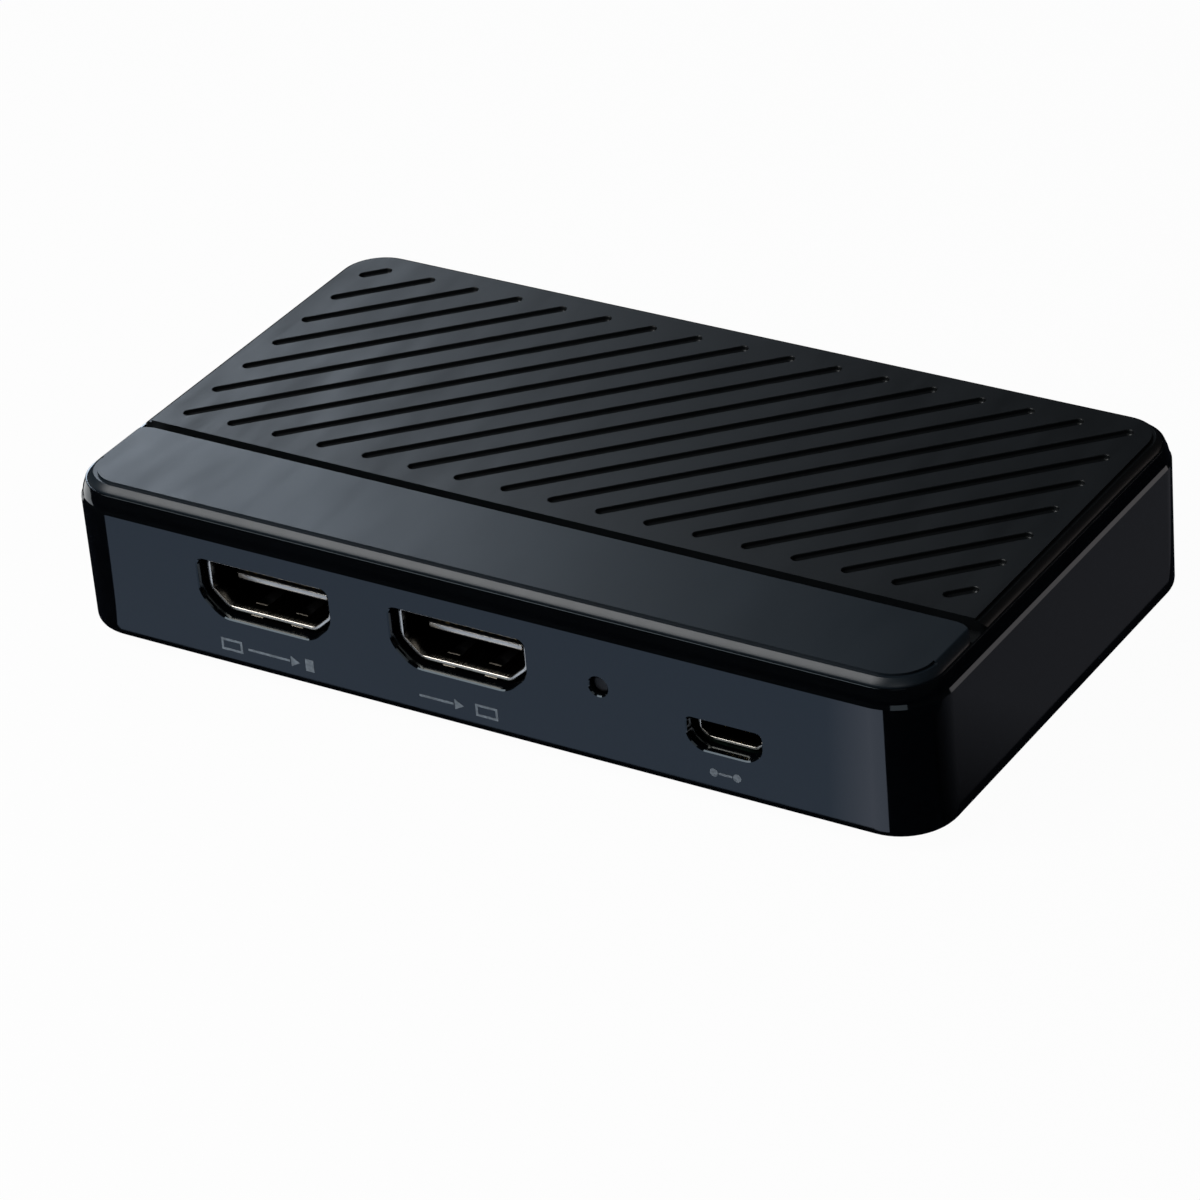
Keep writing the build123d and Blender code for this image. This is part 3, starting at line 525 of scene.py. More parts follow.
@dataclass(frozen=True)
class PlatedMetal(Finish):
    """Folded, plated or drawn metal with rolling lines.

    Attributes:
        run: how the rolling lines are stretched along each axis.
        lines: how strongly they show.
        stain: how far the plating's colour drifts.
        mouth: where the painted shade inside starts and where it is full, along Y, or none.
        painted_shade: the colour's share that is left where the painted shade inside is full.
    """

    run: Triple = (1.0, 0.06, 1.0)
    lines: float = 0.3
    stain: float = 0.12
    mouth: Pair | None = None
    painted_shade: float = 0.05

    def inputs(self, graph: Graph) -> dict[str, object]:
        """Rolling lines bend the gloss, the plating is uneven, and the shade deep inside is painted into the
        colour.

        Args:
            graph: the material's node tree.

        Returns:
            The shader's inputs by name.
        """
        darker, lighter = tint(self.colour, 1.0 - self.stain), tint(self.colour, 1.0 + self.stain / 2)
        colour = graph.blend(graph.clouds(2.2), darker, lighter)
        # Painted shade: past the mouth the colour darkens towards a small share of itself, for the shade
        # deep inside a socket.
        if self.mouth is not None:
            colour = graph.blend(graph.fade(Y, *self.mouth), colour, tint(self.colour, self.painted_shade))
        rolled = graph.noise(0.12, 3.0, graph.mapped(self.run))
        return {
            "Base Color": colour,
            "Metallic": 1.0,
            "Roughness": graph.spread(rolled, self.roughness - 0.06, self.roughness + 0.08),
            "Normal": graph.bump(rolled, 0.004, self.lines),
        }


@dataclass(frozen=True)
class Rubber(Finish):
    """Soft rubber with a dull, slightly dusty skin."""

    def inputs(self, graph: Graph) -> dict[str, object]:
        """Fine pits, and dust that lightens patches of the skin.

        Args:
            graph: the material's node tree.

        Returns:
            The shader's inputs by name.
        """
        return {
            "Base Color": graph.blend(graph.clouds(1.6, 5.0), self.colour, tint(self.colour, 1.7)),
            "Roughness": graph.spread(graph.noise(0.7), self.roughness - 0.08, 0.95),
            "Normal": graph.bump(graph.cells(0.12), 0.01, 0.5),
        }


@dataclass(frozen=True)
class ClearPlastic(Finish):
    """Clear moulded plastic with a faint haze."""

    def inputs(self, graph: Graph) -> dict[str, object]:
        """Light passes through, and the haze drifts a little.

        Args:
            graph: the material's node tree.

        Returns:
            The shader's inputs by name.
        """
        return {
            "Base Color": graph.blend(graph.clouds(0.8), self.colour, tint(self.colour, 0.85)),
            "Roughness": graph.spread(graph.noise(0.5), self.roughness, self.roughness + 0.1),
            "IOR": 1.49,
            "Transmission Weight": 0.75,
            "Normal": graph.bump(graph.noise(0.3), 0.005, 0.3),
        }


@dataclass(frozen=True)
class Laminate(Finish):
    """Circuit board laminate: solder mask over tracks and a woven core.

    Attributes:
        track: the colour of the mask over copper.
    """

    track: Colour = (0.014, 0.028, 0.022, 1.0)

    def inputs(self, graph: Graph) -> dict[str, object]:
        """Tracks show as paler cells under the mask, and the weave as fine relief.

        Args:
            graph: the material's node tree.

        Returns:
            The shader's inputs by name.
        """
        tracks = graph.ramp(graph.cells(2.4, "DISTANCE_TO_EDGE"), 0.04, 0.07)
        return {
            "Base Color": graph.blend(tracks, self.track, self.colour),
            "Roughness": graph.spread(graph.noise(1.0), self.roughness - 0.05, self.roughness + 0.1),
            "Normal": graph.bump(graph.noise(0.3, 1.0, graph.mapped((1.0, 1.0, 0.1))), 0.01, 0.4),
        }


@dataclass(frozen=True)
class PrintedInk(Finish):
    """Thin printed ink with patchy cover."""

    def inputs(self, graph: Graph) -> dict[str, object]:
        """The cover is thinner in small patches.

        Args:
            graph: the material's node tree.

        Returns:
            The shader's inputs by name.
        """
        patches = graph.clouds(0.35, 4.0)
        return {
            "Base Color": graph.blend(patches, tint(self.colour, 0.55), self.colour),
            "Roughness": graph.spread(graph.noise(0.2), self.roughness, self.roughness + 0.15),
            "Normal": graph.bump(patches, 0.004, 0.3),
        }


GLOSS_SHELL = MouldedPlastic(
    "gloss_shell",
    (0.0014, 0.0018, 0.0025, 1.0),
    0.07,
    grain=0.9,
    relief=0.001,
    mottle=0.2,
    drift=0.02,
    scuffs=0.04,
    sheen=(0.72, 0.88, 1.0, 1.0),
)
MATT_PLATE = MouldedPlastic(
    "matt_plate",
    (0.0045, 0.0058, 0.0068, 1.0),
    0.385,
    grain=0.13,
    relief=0.003,
    mottle=0.12,
    sheen=(0.84, 0.86, 0.86, 1.0),
)
SATIN_PLATE = MouldedPlastic(
    "satin_plate", (0.012, 0.0195, 0.0275, 1.0), 0.35, grain=0.1, relief=0.0012, mottle=0.12, drift=0.02
)
SOCKET_PLASTIC = MouldedPlastic("socket_plastic", (0.004, 0.004, 0.0045, 1.0), 0.5, grain=0.2)
# Painted shade: these shells darken in colour past their mouths, where their inside lies in shade.
SOCKET_STEEL = PlatedMetal("socket_steel", (0.66, 0.62, 0.55, 1.0), 0.26, lines=0.04, mouth=(-27.1, -26.6))
DATA_STEEL = PlatedMetal("data_steel", (0.6, 0.57, 0.5, 1.0), 0.26, lines=0.04, mouth=(-26.7, -26.3))
SPRING_STEEL = PlatedMetal("spring_steel", (0.2, 0.18, 0.15, 1.0), 0.3)
TONGUE_STEEL = PlatedMetal("tongue_steel", (0.52, 0.49, 0.44, 1.0), 0.22, run=(0.06, 1.0, 1.0))
CONTACT_GOLD = PlatedMetal("contact_gold", (0.85, 0.62, 0.25, 1.0), 0.22, lines=0.15)
CLEAR_PIN = ClearPlastic("clear_plastic", (0.03, 0.03, 0.035, 1.0), 0.5)
FOOT_RUBBER = Rubber("foot_rubber", (0.02, 0.02, 0.021, 1.0), 0.75)
MARK_INK = PrintedInk("mark_ink", (0.27, 0.32, 0.37, 1.0), 0.5)

INNER_FINISHES: dict[str, Finish] = {
    finish.name: finish
    for finish in (
        PlatedMetal("screw_steel", (0.55, 0.55, 0.57, 1.0), 0.3),
        Laminate("board_laminate", (0.006, 0.012, 0.01, 1.0), 0.3),
        MouldedPlastic("led_package", (0.75, 0.74, 0.66, 1.0), 0.3, grain=0.3),
        Rubber("pad_rubber", (0.25, 0.3, 0.4, 1.0), 0.7),
        PlatedMetal("sink_aluminium", (0.09, 0.09, 0.1, 1.0), 0.42),
        PlatedMetal("lead_tin", (0.65, 0.65, 0.66, 1.0), 0.3),
        MouldedPlastic("ferrite", (0.06, 0.06, 0.065, 1.0), 0.6, grain=0.2, relief=0.03),
        PlatedMetal("can_aluminium", (0.75, 0.75, 0.77, 1.0), 0.28),
        MouldedPlastic("chip_resin", (0.02, 0.02, 0.022, 1.0), 0.55, grain=0.12, relief=0.015),
        MouldedPlastic("ceramic", (0.42, 0.3, 0.2, 1.0), 0.5, grain=0.1),
        MouldedPlastic("resistor_body", (0.04, 0.04, 0.05, 1.0), 0.4, grain=0.1),
    )
}


@dataclass(frozen=True)
class CaseSizes:
    """Sizes that the outer pieces share, in millimetres.

    Attributes:
        half_length: half the case's length.
        half_width: half its width.
        corner: the radius of its upright corners.
        under: the height of its underside.
        parting: the height where the tub ends.
        deck: the height that the plates lie on.
        rim: the height of the cover's rim.
        top: the height of the plates' tops.
        plate_inset: how far the plates' outline lies inside the case's.
        channel_front: where the front plate ends.
        channel_back: where the ribbed panel starts.
        feet: the feet's distances from the middle.
        light: the light's place along the case and its height.
    """

    half_length: float = 50.0
    half_width: float = 28.5
    corner: float = 6.0
    under: float = 1.5
    parting: float = 16.4
    deck: float = 17.4
    rim: float = 17.85
    top: float = 18.799
    plate_inset: float = 0.9
    channel_front: float = -15.475
    channel_back: float = -14.225
    feet: Pair = (43.0, 21.5)
    light: Pair = (14.1, 10.5)

    def slab(self, name: str, inset: float, low: float, high: float) -> Workpiece:
        """A slab with the case's outline.

        Args:
            name: the piece's name.
            inset: how far it is drawn in.
            low: its underside's height.
            high: its top's height.

        Returns:
            The slab, with its upright corners rounded.
        """
        x = self.half_length - inset
        y = self.half_width - inset
        piece = Workpiece.block(name, (-x, -y, low), (x, y, high))
        return piece.pick_edges(upright).round_off(self.corner - inset, 14)

    def foot_places(self) -> dict[str, Pair]:
        """The feet's places by name."""
        x, y = self.feet
        return {"front_left": (-x, -y), "front_right": (x, -y), "back_left": (-x, y), "back_right": (x, y)}


@dataclass(frozen=True)
class SocketShape:
    """A socket's outline seen from the front: wide above, with slanted lower corners.

    Attributes:
        width: its width.
        height: its height.
        slant_width: the slant's run along the width.
        slant_height: the slant's run along the height.
        corner: the radius of its corners.
    """

    width: float
    height: float
    slant_width: float
    slant_height: float
    corner: float

    def grown(self, gap: float) -> "SocketShape":
        """The outline with the same gap all round, or drawn in by a gap below zero.

        Args:
            gap: the gap.

        Returns:
            The new outline.
        """
        slope = math.hypot(self.slant_width, self.slant_height)
        drop = self.slant_height + gap + gap * (self.slant_height - slope) / self.slant_width
        run = gap - (gap * slope - (self.slant_height + gap) * self.slant_width) / self.slant_height
        return replace(
            self,
            width=self.width + 2 * gap,
            height=self.height + 2 * gap,
            slant_width=run,
            slant_height=drop,
            corner=max(self.corner + gap, 0.05),
        )

    def prism(self, name: str, centre_x: float, middle_z: float, front: float, back: float) -> Workpiece:
        """A prism with this outline that runs back from the front.

        Args:
            name: the piece's name.
            centre_x: its middle along the case.
            middle_z: its middle height.
            front: where it starts.
            back: where it ends.

        Returns:
            The prism, with its long edges rounded.
        """
        low = middle_z - self.height / 2
        high = middle_z + self.height / 2
        shoulder = low + self.slant_height
        half = self.width / 2
        piece = Workpiece.block(name, (centre_x - half, front, shoulder), (centre_x + half, back, high))
        piece.pick_faces(flat_at(Z, shoulder, -1.0)).push((0.0, 0.0, -self.slant_height))
        share = (half - self.slant_width) / half
        piece.stretch((share, 1.0, 1.0), (centre_x, 0.0, low))
        return piece.pick_edges(deep).round_off(self.corner, 4)


def flared(tool: Workpiece, mouth: Triple, size: Pair, flare: float) -> Workpiece:
    """Widens a cutter's front end, which eases the edge of what it cuts.

    Args:
        tool: the cutter, whose front face lies behind the wall's face by the flare.
        mouth: the middle of its front face.
        size: its width and height.
        flare: the width of the eased edge.

    Returns:
        The cutter.
    """
    tool.pick_faces(flat_at(Y, mouth[Y], -1.0)).push((0.0, -2 * flare, 0.0))
    return tool.stretch((1 + 4 * flare / size[0], 1.0, 1 + 4 * flare / size[1]), mouth)


@dataclass(frozen=True)
class Port:
    """A socket's opening in the front wall.

    Attributes:
        shape: the shell's outline.
        centre_x: its middle along the case.
        middle_z: its middle height.
        gap: the opening's gap round the shell.
    """

    shape: SocketShape
    centre_x: float
    middle_z: float
    gap: float

    @property
    def low(self) -> float:
        """The height of the shell's underside."""
        return self.middle_z - self.shape.height / 2

    @property
    def high(self) -> float:
        """The height of the shell's top."""
        return self.middle_z + self.shape.height / 2

    def cutter(self, face: float, reach: float, flare: float) -> Workpiece:
        """A tool that cuts the opening and eases its outer edge.

        Args:
            face: where the wall's outer face lies.
            reach: how far back the tool goes.
            flare: the width of the eased edge.

        Returns:
            The tool.
        """
        hole = self.shape.grown(self.gap)
        start = face + flare
        tool = hole.prism("port_cutter", self.centre_x, self.middle_z, start, face + reach)
        return flared(tool, (self.centre_x, start, self.middle_z), (hole.width, hole.height), flare)


LARGE_MOUTH = SocketShape(15.0, 5.5, 2.2, 2.0, 0.5)
SMALL_MOUTH = SocketShape(7.5, 2.6, 1.1, 0.9, 0.25)
LARGE_PORTS: dict[Flow, Port] = {
    Flow.OUT: Port(LARGE_MOUTH, -25.2, 10.35, 0.45),
    Flow.IN: Port(LARGE_MOUTH, -2.1, 10.35, 0.45),
}
SMALL_PORT = Port(SMALL_MOUTH, 28.0, 8.0, 0.4)


@dataclass
class Housing:
    """The glossy tub with its ports and the recesses for the feet.

    Attributes:
        sizes: the shared case sizes.
        wall: the wall's thickness.
        floor: the floor's thickness.
        bottom_round: the radius of the lower edge.
        top_chamfer: the width and the drop of the upper edge's flat chamfer.
        print_depth: how far the front face lies behind the printed marks.
        reach: how far the openings' cutters go.
        flare: the width of the ports' eased edges.
        light_radius: the light hole's radius.
        foot_recess: the recess's radius and depth.
        sharp: the angle in degrees past which an edge stays sharp, less than the chamfer's.
    """

    sizes: CaseSizes
    wall: float = 1.6
    floor: float = 1.6
    bottom_round: float = 0.8
    top_chamfer: Pair = (0.26, 0.45)
    print_depth: float = 0.02
    reach: float = 2.6
    flare: float = 0.12
    light_radius: float = 1.05
    foot_recess: Pair = (4.7, 0.8)
    sharp: float = 25.0

    def tub(self) -> Workpiece:
        """The open tub with rounded edges.

        Returns:
            The tub, before its openings are cut.
        """
        s = self.sizes
        shell = s.slab("housing_shell", self.print_depth, s.under, s.parting)
        shell.pick_edges(level_at(s.under)).round_off(self.bottom_round, 5)
        width, drop = self.top_chamfer
        shell.pick_edges(level_at(s.parting)).round_off(width, 1)
        shell.pick_edges(level_at(s.parting - width)).shift((0.0, 0.0, width - drop))
        shell.pick_faces(flat_at(Z, s.parting, 1.0)).inset(self.wall - width)
        return shell.push((0.0, 0.0, s.under + self.floor - s.parting))

    def tools(self) -> list[Workpiece]:
        """Makes what cuts the ports, the light hole and the foot recesses.

        Returns:
            The cutters.
        """
        s = self.sizes
        face = -s.half_width + self.print_depth
        tools = [port.cutter(face, self.reach, self.flare) for port in (*LARGE_PORTS.values(), SMALL_PORT)]
        x, z = s.light
        start = face + self.flare
        middle = (x, start + self.reach / 2, z)
        light = Workpiece.rod("light_cutter", middle, self.light_radius, self.reach, Direction.DEEP)
        tools.append(flared(light, (x, start, z), (2 * self.light_radius,) * 2, self.flare))
        radius, depth = self.foot_recess
        for place in sorted(s.foot_places().values()):
            middle = (*place, s.under)
            tools.append(Workpiece.rod("foot_cutter", middle, radius, 2 * depth, Direction.UP, 64))
        return tools

    def build(self) -> None:
        """Cuts and finishes the tub."""
        shell = self.tub()
        for tool in self.tools():
            shell.cut_by(tool)
        shell.finish(GLOSS_SHELL, "gloss_shell", ["lower_housing"], degrees=self.sharp)


@dataclass
class Cover:
    """The glossy cover: its shoulder round the plates and the channel's floor.

    Attributes:
        sizes: the shared case sizes.
        inset: how far its side lies inside the tub's.
        lean: how far the shoulder leans in over its height.
        crown: the height where the shoulder is the most crowned.
        seam: the height of its side's lowest band above the parting.
        edge: the radius of its upper edge.
        plate_gap: the gap between rim and plates.
        lip: the lip's inset, thickness and depth below the parting.
        roof: the deck's thickness.
    """

    sizes: CaseSizes
    inset: float = 0.2
    lean: float = 0.48
    crown: float = 17.0
    seam: float = 0.002
    edge: float = 0.04
    plate_gap: float = 0.05
    lip: Triple = (1.7, 0.9, 1.98)
    roof: float = 1.5

    def build(self) -> None:
        """The shoulder leans in over its height, slightly crowned, under a crisp rim."""
        s = self.sizes
        cover = s.slab("cover_shoulder", self.inset, s.parting, s.rim)
        cover.pick_edges(level_at(s.rim)).round_off(self.lean, 2)
        drop = (0.0, 0.0, s.parting + self.lean + self.seam - s.rim)
        cover.pick_edges(level_at(s.rim - self.lean)).shift(drop)
        crown = s.rim - self.lean * (1 - math.sqrt(0.5))
        cover.pick_edges(level_at(crown)).shift((0.0, 0.0, self.crown - crown))
        cover.pick_edges(level_at(s.rim)).round_off(self.edge, 3)
        rim_width = s.plate_inset - self.plate_gap - self.inset - self.lean - self.edge
        cover.pick_faces(flat_at(Z, s.rim, 1.0)).inset(rim_width).push((0.0, 0.0, s.deck - s.rim))
        lip_inset, lip_wall, lip_depth = self.lip
        cover.pick_faces(flat_at(Z, s.parting, -1.0)).inset(lip_inset - self.inset)
        cover.push((0.0, 0.0, -lip_depth)).inset(lip_wall)
        cover.push((0.0, 0.0, s.deck - self.roof - s.parting + lip_depth))
        cover.finish(GLOSS_SHELL, "gloss_shell", ["top_cover"])


@dataclass
class Plates:
    """The satin front strip and the matt ribbed panel.

    Attributes:
        sizes: the shared case sizes.
        edge_round: the width of the outer upper edges' rounding.
        edge_profile: how full that rounding is, flatter than a true round.
        strip_corner: the radius of the strip's back corners.
        panel_corner: the radius of the panel's front corners.
        line: the fine line's inset from the plates' outline, its width and its depth.
        groove_width: the width of a slanted groove.
        groove_depth: its depth.
        groove_foot: the radius of its floor's edges.
        groove_ease: the width of its eased upper edge.
        pitch: the grooves' spacing along the case.
        margins: how far the grooves' ends stay from the panel's sides, front and back.
    """

    sizes: CaseSizes
    edge_round: float = 0.95
    edge_profile: float = 0.32
    strip_corner: float = 2.5
    panel_corner: float = 0.6
    line: Triple = (0.64, 0.44, 0.26)
    groove_width: float = 1.15
    groove_depth: float = 0.62
    groove_foot: float = 0.3
    groove_ease: float = 0.06
    pitch: float = 5.56
    margins: Triple = (3.7, 2.9, 4.0)

    def blank(self, name: str, front: float, back: float, corner: float) -> Workpiece:
        """A plate cut out of the rounded slab between two depths.

        Args:
            name: the plate's name.
            front: where its front edge lies.
            back: where its back edge lies.
            corner: the radius of its corners on the channel's side.

        Returns:
            The plate.
        """
        s = self.sizes
        x = s.half_length - s.plate_inset
        plate = s.slab(name, s.plate_inset, s.deck, s.top)
        plate.pick_edges(level_at(s.top)).round_off(self.edge_round, 8, self.edge_profile)
        channel = s.channel_front if front < s.channel_front else s.channel_back
        span = Workpiece.block("span", (-x, front, s.deck - 1.0), (x, back, s.top + 1.0))
        span.pick_edges(lambda a, b: upright(a, b) and abs(a.y - channel) < TINY).round_off(corner, 10)
        return plate.cut_by(span, "INTERSECT")

    def line_tool(self, front: float, back: float) -> Workpiece:
        """A ring-shaped cutter for the fine line.

        Args:
            front: where the line starts.
            back: where it ends.

        Returns:
            The cutter.
        """
        s = self.sizes
        inset, width, depth = self.line
        outside = s.plate_inset + inset
        outer = s.slab("line_cutter", outside, s.top - depth, s.top + depth)
        outer.cut_by(s.slab("line_inside", outside + width, s.top - 2 * depth, s.top + 2 * depth))
        low = (-s.half_length, front, s.deck)
        keep = Workpiece.block("line_span", low, (s.half_length, back, s.top + s.deck))
        return outer.cut_by(keep, "INTERSECT")

    def groove_tool(self, middle: Pair, run: float) -> Workpiece:
        """A cutter for one slanted groove, with round ends and an eased upper edge.

        Args:
            middle: the groove's middle.
            run: the distance between its ends' centres.

        Returns:
            The cutter.
        """
        top = self.sizes.top
        radius = self.groove_width / 2
        half = run / 2 + radius
        low = (-half, -radius, top - self.groove_depth)
        tool = Workpiece.block("groove_cutter", low, (half, radius, top - self.groove_ease))
        tool.pick_edges(upright).round_off(radius - TINY * 10, 7)
        tool.pick_edges(level_at(top - self.groove_depth)).round_off(self.groove_foot, 3)
        tool.pick_faces(flat_at(Z, top - self.groove_ease, 1.0)).push((0.0, 0.0, 2 * self.groove_ease))
        longer, wider = (1 + 2 * self.groove_ease / reach for reach in (half, radius))
        tool.stretch((longer, wider, 1.0), (0.0, 0.0, top))
        tool.put_down()
        tool.body.rotation_euler = (0.0, 0.0, math.pi / 4)
        tool.body.location = (*middle, 0.0)
        return tool.settle()

    def groove_tools(self) -> list[Workpiece]:
        """Lays the slanted field out.

        Returns:
            One cutter for each of its grooves.
        """
        s = self.sizes
        side, front, back = self.margins
        half_x = s.half_length - s.plate_inset - side
        low_y = s.channel_back + front
        high_y = s.half_width - s.plate_inset - back
        half_y = (high_y - low_y) / 2
        middle_y = (high_y + low_y) / 2
        reach = int((half_x + half_y) / self.pitch)
        tools = []
        for step in range(-reach, reach + 1):
            shift = step * self.pitch
            start = max(-half_x, shift - half_y)
            end = min(half_x, shift + half_y)
            centre = (start + end) / 2
            middle = (centre, middle_y + centre - shift)
            tools.append(self.groove_tool(middle, (end - start) * math.sqrt(2)))
        return tools

    def build(self) -> None:
        """Makes both plates."""
        s = self.sizes
        strip = self.blank("satin_strip", -s.half_width, s.channel_front, self.strip_corner)
        strip.cut_by(self.line_tool(-s.half_width, -s.half_width + s.corner))
        strip.finish(SATIN_PLATE, "satin_plate", ["front_strip"])
        panel = self.blank("slanted_panel", s.channel_back, s.half_width, self.panel_corner)
        panel.cut_by(self.line_tool(s.channel_back - 1.0, s.half_width))
        tools = self.groove_tools()
        panel.cut_by(tools[0].join(tools[1:]))
        panel.finish(MATT_PLATE, "matt_plate", ["ribbed_panel"])


@dataclass(kw_only=True)
class Socket:
    """What the sockets share: a folded shell, a black block with a tongue, and rows of contacts.

    Attributes:
        port: the opening it stands in.
        front: where the shell's mouth lies.
        back: where the shell ends.
        wall: the shell's thickness.
        lip: the radius of its rolled lip.
        block_front: where the insulator's block starts.
        block_gap: the block's gap inside the shell.
        tongue: the tongue's width, thickness and front.
        tongue_z: the tongue's middle height.
        tongue_root: how far it reaches into the block.
        tongue_edge: the radius of its front edges.
        board_top: the height of the board's upper side.
    """

    port: Port
    front: float
    back: float
    wall: float
    lip: float
    block_front: float
    block_gap: float = 0.05
    tongue: Triple
    tongue_z: float
    tongue_root: float
    tongue_edge: float
    board_top: float = 6.7

    def bar(self, name: str, offset: float, width: float, depths: Pair, heights: Pair) -> Workpiece:
        """A block whose middle is offset from the socket's, between two depths and two heights."""
        left, right = (self.port.centre_x + offset + side * width / 2 for side in (-1, 1))
        return Workpiece.block(name, (left, depths[0], heights[0]), (right, depths[1], heights[1]))

    def first_bar(self, count: int, pitch: float, width: float, depths: Pair, heights: Pair) -> Workpiece:
        """The left one of a count of bars that stand side by side about the socket's middle."""
        return self.bar("bar", -(count - 1) * pitch / 2, width, depths, heights)

    @staticmethod
    def spaced(bar: Workpiece, pitch: float, count: int) -> list[Workpiece]:
        """Copies a bar to its right, so that they make a row with it.

        Args:
            bar: the row's first bar. While it is open in edit mode, the first copy is made from its mesh
                as it was before, with square edges.
            pitch: the row's spacing.
            count: how many bars the row has.

        Returns:
            The copies.
        """
        return [bar.copy("bar", (n * pitch, 0.0, 0.0)) for n in range(1, count)]

    def folded_shell(self, name: str) -> Workpiece:
        """A tube with the port's outline and a rolled lip.

        Args:
            name: the shell's name.

        Returns:
            The tube.
        """
        shell = self.port.shape.prism(name, self.port.centre_x, self.port.middle_z, self.front, self.back)
        shell.pick_faces(flat_at(Y, self.front, -1.0)).inset(self.wall)
        shell.push((0.0, self.back - self.front, 0.0))
        shell.pick_faces(lambda centre, normal: abs(centre.y - self.back) < TINY and abs(normal.y) > FLAT)
        bpy.ops.mesh.delete(type="ONLY_FACE")
        shell.pick_edges(facing_at(self.back))
        bpy.ops.mesh.bridge_edge_loops()
        return shell.pick_edges(facing_at(self.front)).round_off(self.lip, 3)

    def tongued_block(self, name: str) -> Workpiece:
        """The black block behind the mouth, with the tongue that stands out of it.

        Args:
            name: the block's name.

        Returns:
            The block.
        """
        inner = self.port.shape.grown(-self.wall - self.block_gap)
        block = inner.prism(name, self.port.centre_x, self.port.middle_z, self.block_front, self.back)
        width, thickness, tip = self.tongue
        heights = (self.tongue_z - thickness / 2, self.tongue_z + thickness / 2)
        tongue = self.bar("tongue", 0.0, width, (tip, self.block_front + self.tongue_root), heights)
        tongue.pick_edges(facing_at(tip)).round_off(self.tongue_edge, 2)
        return block.join([tongue])


@dataclass(kw_only=True)
class LargeSocket(Socket):
    """A large video socket: shell, springs, block, tongue and contacts.

    Attributes:
        flow: which of the two sockets it is.
        spring_reach: the springs' distance from the middle.
        spring: a spring's width, thickness and rise.
        spring_run: where its foot starts and ends and where its crest lies, behind the mouth.
        spring_bow: the radius of its bow.
        window: where its window starts and ends behind the mouth, and the gap beside it.
        window_over: how far the window's cutter goes past the wall, below and above.
        flange: the thickness of the flange behind the block.
        pad: the length of the pad under it.
        cap: how far the tongue's cap stays from its sides, stands out and reaches back.
        cap_edge: how far the cap stays from the tongue's faces, and the radius of its front edges.
        contact: a contact's width, thickness and setback from the tongue's tip.
        contact_edge: the radius of its front edges.
        rows: how many contacts lie on the tongue and under it.
        pitch: their spacing.
        tail: a tail's width, length and upper edges' radius.
        tails: how many tails there are.
    """

    flow: Flow
    port: Port = field(init=False)
    front: float = -27.35
    back: float = -15.85
    wall: float = 0.4
    lip: float = 0.12
    block_front: float = -19.45
    tongue: Triple = (11.0, 0.9, -25.15)
    tongue_z: float = 10.3
    tongue_root: float = 0.5
    tongue_edge: float = 0.2
    spring_reach: float = 2.45
    spring: Triple = (1.4, 0.25, 0.45)
    spring_run: Triple = (1.7, 1.75, 3.6)
    spring_bow: float = 3.7
    window: Triple = (1.5, 5.5, 0.2)
    window_over: Pair = (0.5, 0.1)
    flange: float = 0.8
    pad: float = 8.0
    cap: Triple = (0.05, 0.03, 0.33)
    cap_edge: Pair = (0.15, 0.1)
    contact: Triple = (0.45, 0.15, 0.4)
    contact_edge: float = 0.05
    rows: tuple[int, int] = (10, 9)
    pitch: float = 1.0
    tail: Triple = (0.24, 1.3, 0.03)
    tails: int = 19

    def __post_init__(self) -> None:
        """Finds the port that this socket stands in, and how its pieces' names start."""
        self.port = LARGE_PORTS[self.flow]
        self.prefix = f"video_{self.flow.value}"

    def leaf(self, offset: float) -> Workpiece:
        """A leaf spring bowed up out of the shell's lower wall.

        Args:
            offset: its distance from the socket's middle.

        Returns:
            The spring.
        """
        width, thickness, rise = self.spring
        start, foot, crest = (self.front + place for place in self.spring_run)
        inside = self.port.low + self.wall
        leaf = self.bar("leaf", offset, width, (start, foot), (inside - thickness, inside))
        leaf.pick_faces(flat_at(Y, foot, 1.0))
        centre = (self.port.centre_x + offset, crest, inside + rise - self.spring_bow)
        angle = 2 * math.asin((crest - foot) / self.spring_bow)
        bpy.ops.mesh.spin(steps=10, angle=-angle, center=centre, axis=(1.0, 0.0, 0.0))
        return leaf

    def shell(self) -> None:
        """The folded shell with its windows, and the springs in them."""
        shell = self.folded_shell(f"{self.prefix}_shell")
        start, end, gap = self.window
        below, above = self.window_over
        depths = (self.front + start, self.front + end)
        heights = (self.port.low - below, self.port.low + self.wall + above)
        for side in (-1, 1):
            window = self.bar("window", side * self.spring_reach, self.spring[0] + 2 * gap, depths, heights)
            shell.cut_by(window)
        shell.finish(SOCKET_STEEL, "socket_steel", [f"hdmi_{self.flow.value}_shell"])
        springs = self.leaf(-self.spring_reach).join([self.leaf(self.spring_reach)])
        springs.rename(f"{self.prefix}_springs").finish(SPRING_STEEL, "socket_steel")

    def insulator(self) -> None:
        """The black block with its tongue, the flange behind it and the pad under it."""
        block = self.tongued_block(f"{self.prefix}_insulator")
        width = self.tongue[0]
        heights = (self.board_top, self.port.high - self.wall)
        flange = self.bar("flange", 0.0, width, (self.back, self.back + self.flange), heights)
        depths = (self.back - self.pad, self.back)
        pad = self.bar("pad", 0.0, width, depths, (self.board_top, self.port.low))
        block.join([flange, pad])
        block.finish(SOCKET_PLASTIC, "socket_plastic", [f"hdmi_{self.flow.value}_insulator"])

    def tongue_cap(self) -> None:
        """A bright plated cap over the tongue's front edge."""
        width, thickness, tip = self.tongue
        side, stand, reach = self.cap
        inset, radius = self.cap_edge
        rise = thickness / 2 - inset
        depths = (tip - stand, tip + reach)
        heights = (self.tongue_z - rise, self.tongue_z + rise)
        cap = self.bar(f"{self.prefix}_tongue_cap", 0.0, width - 2 * side, depths, heights)
        cap.pick_edges(facing_at(tip - stand)).round_off(radius, 3)
        cap.finish(TONGUE_STEEL, "socket_steel")

